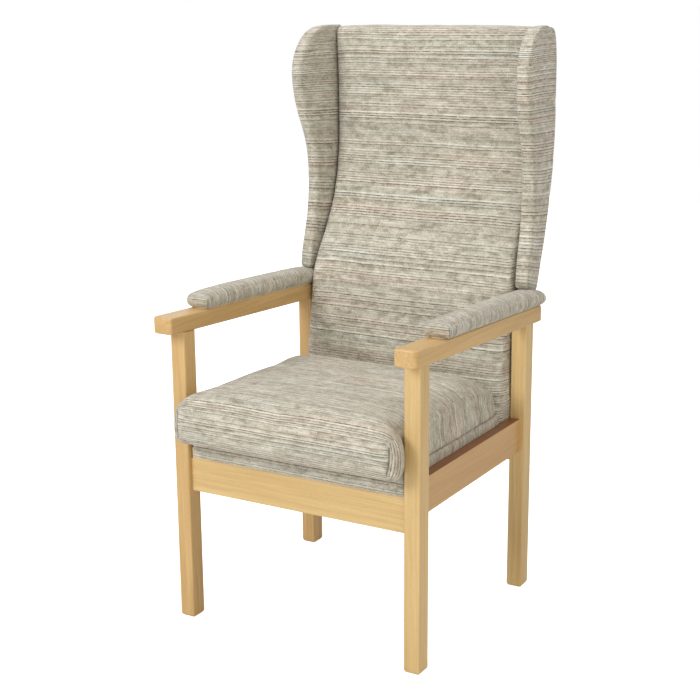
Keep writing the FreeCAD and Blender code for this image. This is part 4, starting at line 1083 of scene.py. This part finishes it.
def makeZipTape():
    half, tapeHalf = zipper["half"] * mm, zipper["tape"] / 2 * mm
    inner, outer = zipper["tapeFaces"]
    piece = gridBox("cushion_zip_tape", (-half, zipRear + inner, zipLevel - tapeHalf),
                    (half, zipRear + outer, zipLevel + tapeHalf), zipper["tapeCell"])
    for vertex in piece.data.vertices:
        vertex.co.y -= zipper["tapeCurl"] * (abs(vertex.co.z - zipLevel) / tapeHalf) ** 2
        vertex.co.z += zipper["waveHeight"] * math.sin(vertex.co.x * zipper["waves"])
    piece.data.materials.append(zipTape)
    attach(piece, "seat_cushion")
    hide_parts("cushion_zip")


def makeZipCoil():
    bpy.ops.object.select_all(action="DESELECT")
    bpy.ops.mesh.primitive_cylinder_add(
        vertices=6, radius=zipper["coil"] / 2 * mm, depth=zipper["tooth"], location=(0, 0, 0))
    piece = bpy.context.object
    piece.name = "cushion_zip_coil"
    bpy.ops.object.mode_set(mode="EDIT")
    bpy.ops.mesh.select_all(action="SELECT")
    bpy.ops.mesh.bevel(offset=zipper["toothBevel"], segments=1, affect="EDGES")
    bpy.ops.object.mode_set(mode="OBJECT")
    row = piece.modifiers.new("row", "ARRAY")
    row.count = int(2 * zipper["half"] / zipper["pitch"]) - 2
    row.use_relative_offset = False
    row.use_constant_offset = True
    row.constant_offset_displace = (zipper["pitch"] * mm, 0, 0)
    bpy.ops.object.modifier_apply(modifier="row")
    start = -(zipper["half"] - zipper["end"]) * mm
    bpy.ops.transform.translate(value=(start, zipRear + zipper["toothLift"], zipLevel))
    settle()
    piece.data.materials.append(zipTape)
    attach(piece, "seat_cushion")


def makeZipSlider():
    start = (zipper["half"] - zipper["end"]) * mm
    inner, outer = zipper["sliderFaces"]
    piece = gridBox("cushion_zip_slider", (start, zipRear + inner, zipLevel - zipper["sliderHalf"]),
                    (start + zipper["sliderLength"], zipRear + outer, zipLevel + zipper["sliderHalf"]),
                    zipper["sliderCell"])
    for vertex in piece.data.vertices:
        share = (vertex.co.x - start) / zipper["sliderLength"]
        wide = blend(zipper["sliderWaist"], 1, max(0, math.sin(share * math.pi)) ** 0.5)
        vertex.co.z = blend(zipLevel, vertex.co.z, wide)
        if vertex.co.y > zipRear + 0.001:
            vertex.co.y -= zipper["sliderCurl"] * abs(2 * share - 1) ** 3
    bpy.ops.object.shade_smooth()
    piece.data.materials.append(zinc)
    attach(piece, "seat_cushion")


makeZipTape()
makeZipCoil()
makeZipSlider()
print("zip ready")

# Lining under the seat: the solid's outline with its cut corners, gridded and sagging
liningPlan = {
    "cell": 0.009, "sag": 0.0035, "sagReach": 0.16, "ripple": 0.0005, "rippleScale": 28, "rippleReach": 0.03,
}
lowCorner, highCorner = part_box("dust_cover")


def makeLining():
    piece = bpy.data.objects.new("seat_lining", nodes["dust_cover"].data.copy())
    scene.collection.objects.link(piece)
    alone(piece)
    bpy.ops.object.mode_set(mode="EDIT")
    bpy.ops.mesh.select_all(action="SELECT")
    bpy.ops.mesh.remove_doubles(threshold=0.00001)
    bpy.ops.mesh.dissolve_limited(angle_limit=0.02)
    for axis in range(2):
        normal = [int(index == axis) for index in range(3)]
        for step in range(1, int((highCorner[axis] - lowCorner[axis]) / liningPlan["cell"])):
            bpy.ops.mesh.select_all(action="SELECT")
            cut = [share * (lowCorner[axis] + step * liningPlan["cell"]) for share in normal]
            bpy.ops.mesh.bisect(plane_co=cut, plane_no=normal)
    bpy.ops.object.mode_set(mode="OBJECT")
    for vertex in piece.data.vertices:
        inside = min(vertex.co.x - lowCorner.x, highCorner.x - vertex.co.x,
                     vertex.co.y - lowCorner.y, highCorner.y - vertex.co.y)
        vertex.co.z -= liningPlan["sag"] * ease(clamp(inside / liningPlan["sagReach"]))
        ripple = liningPlan["ripple"] * noise.noise(vertex.co * liningPlan["rippleScale"])
        vertex.co.z += ripple * min(1, inside / liningPlan["rippleReach"])
    bpy.ops.object.shade_smooth_by_angle(angle=0.6)
    piece.data.materials.clear()
    piece.data.materials.append(lining)
    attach(piece, "frame")
    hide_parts("dust_cover")
    print("lining ready")


makeLining()
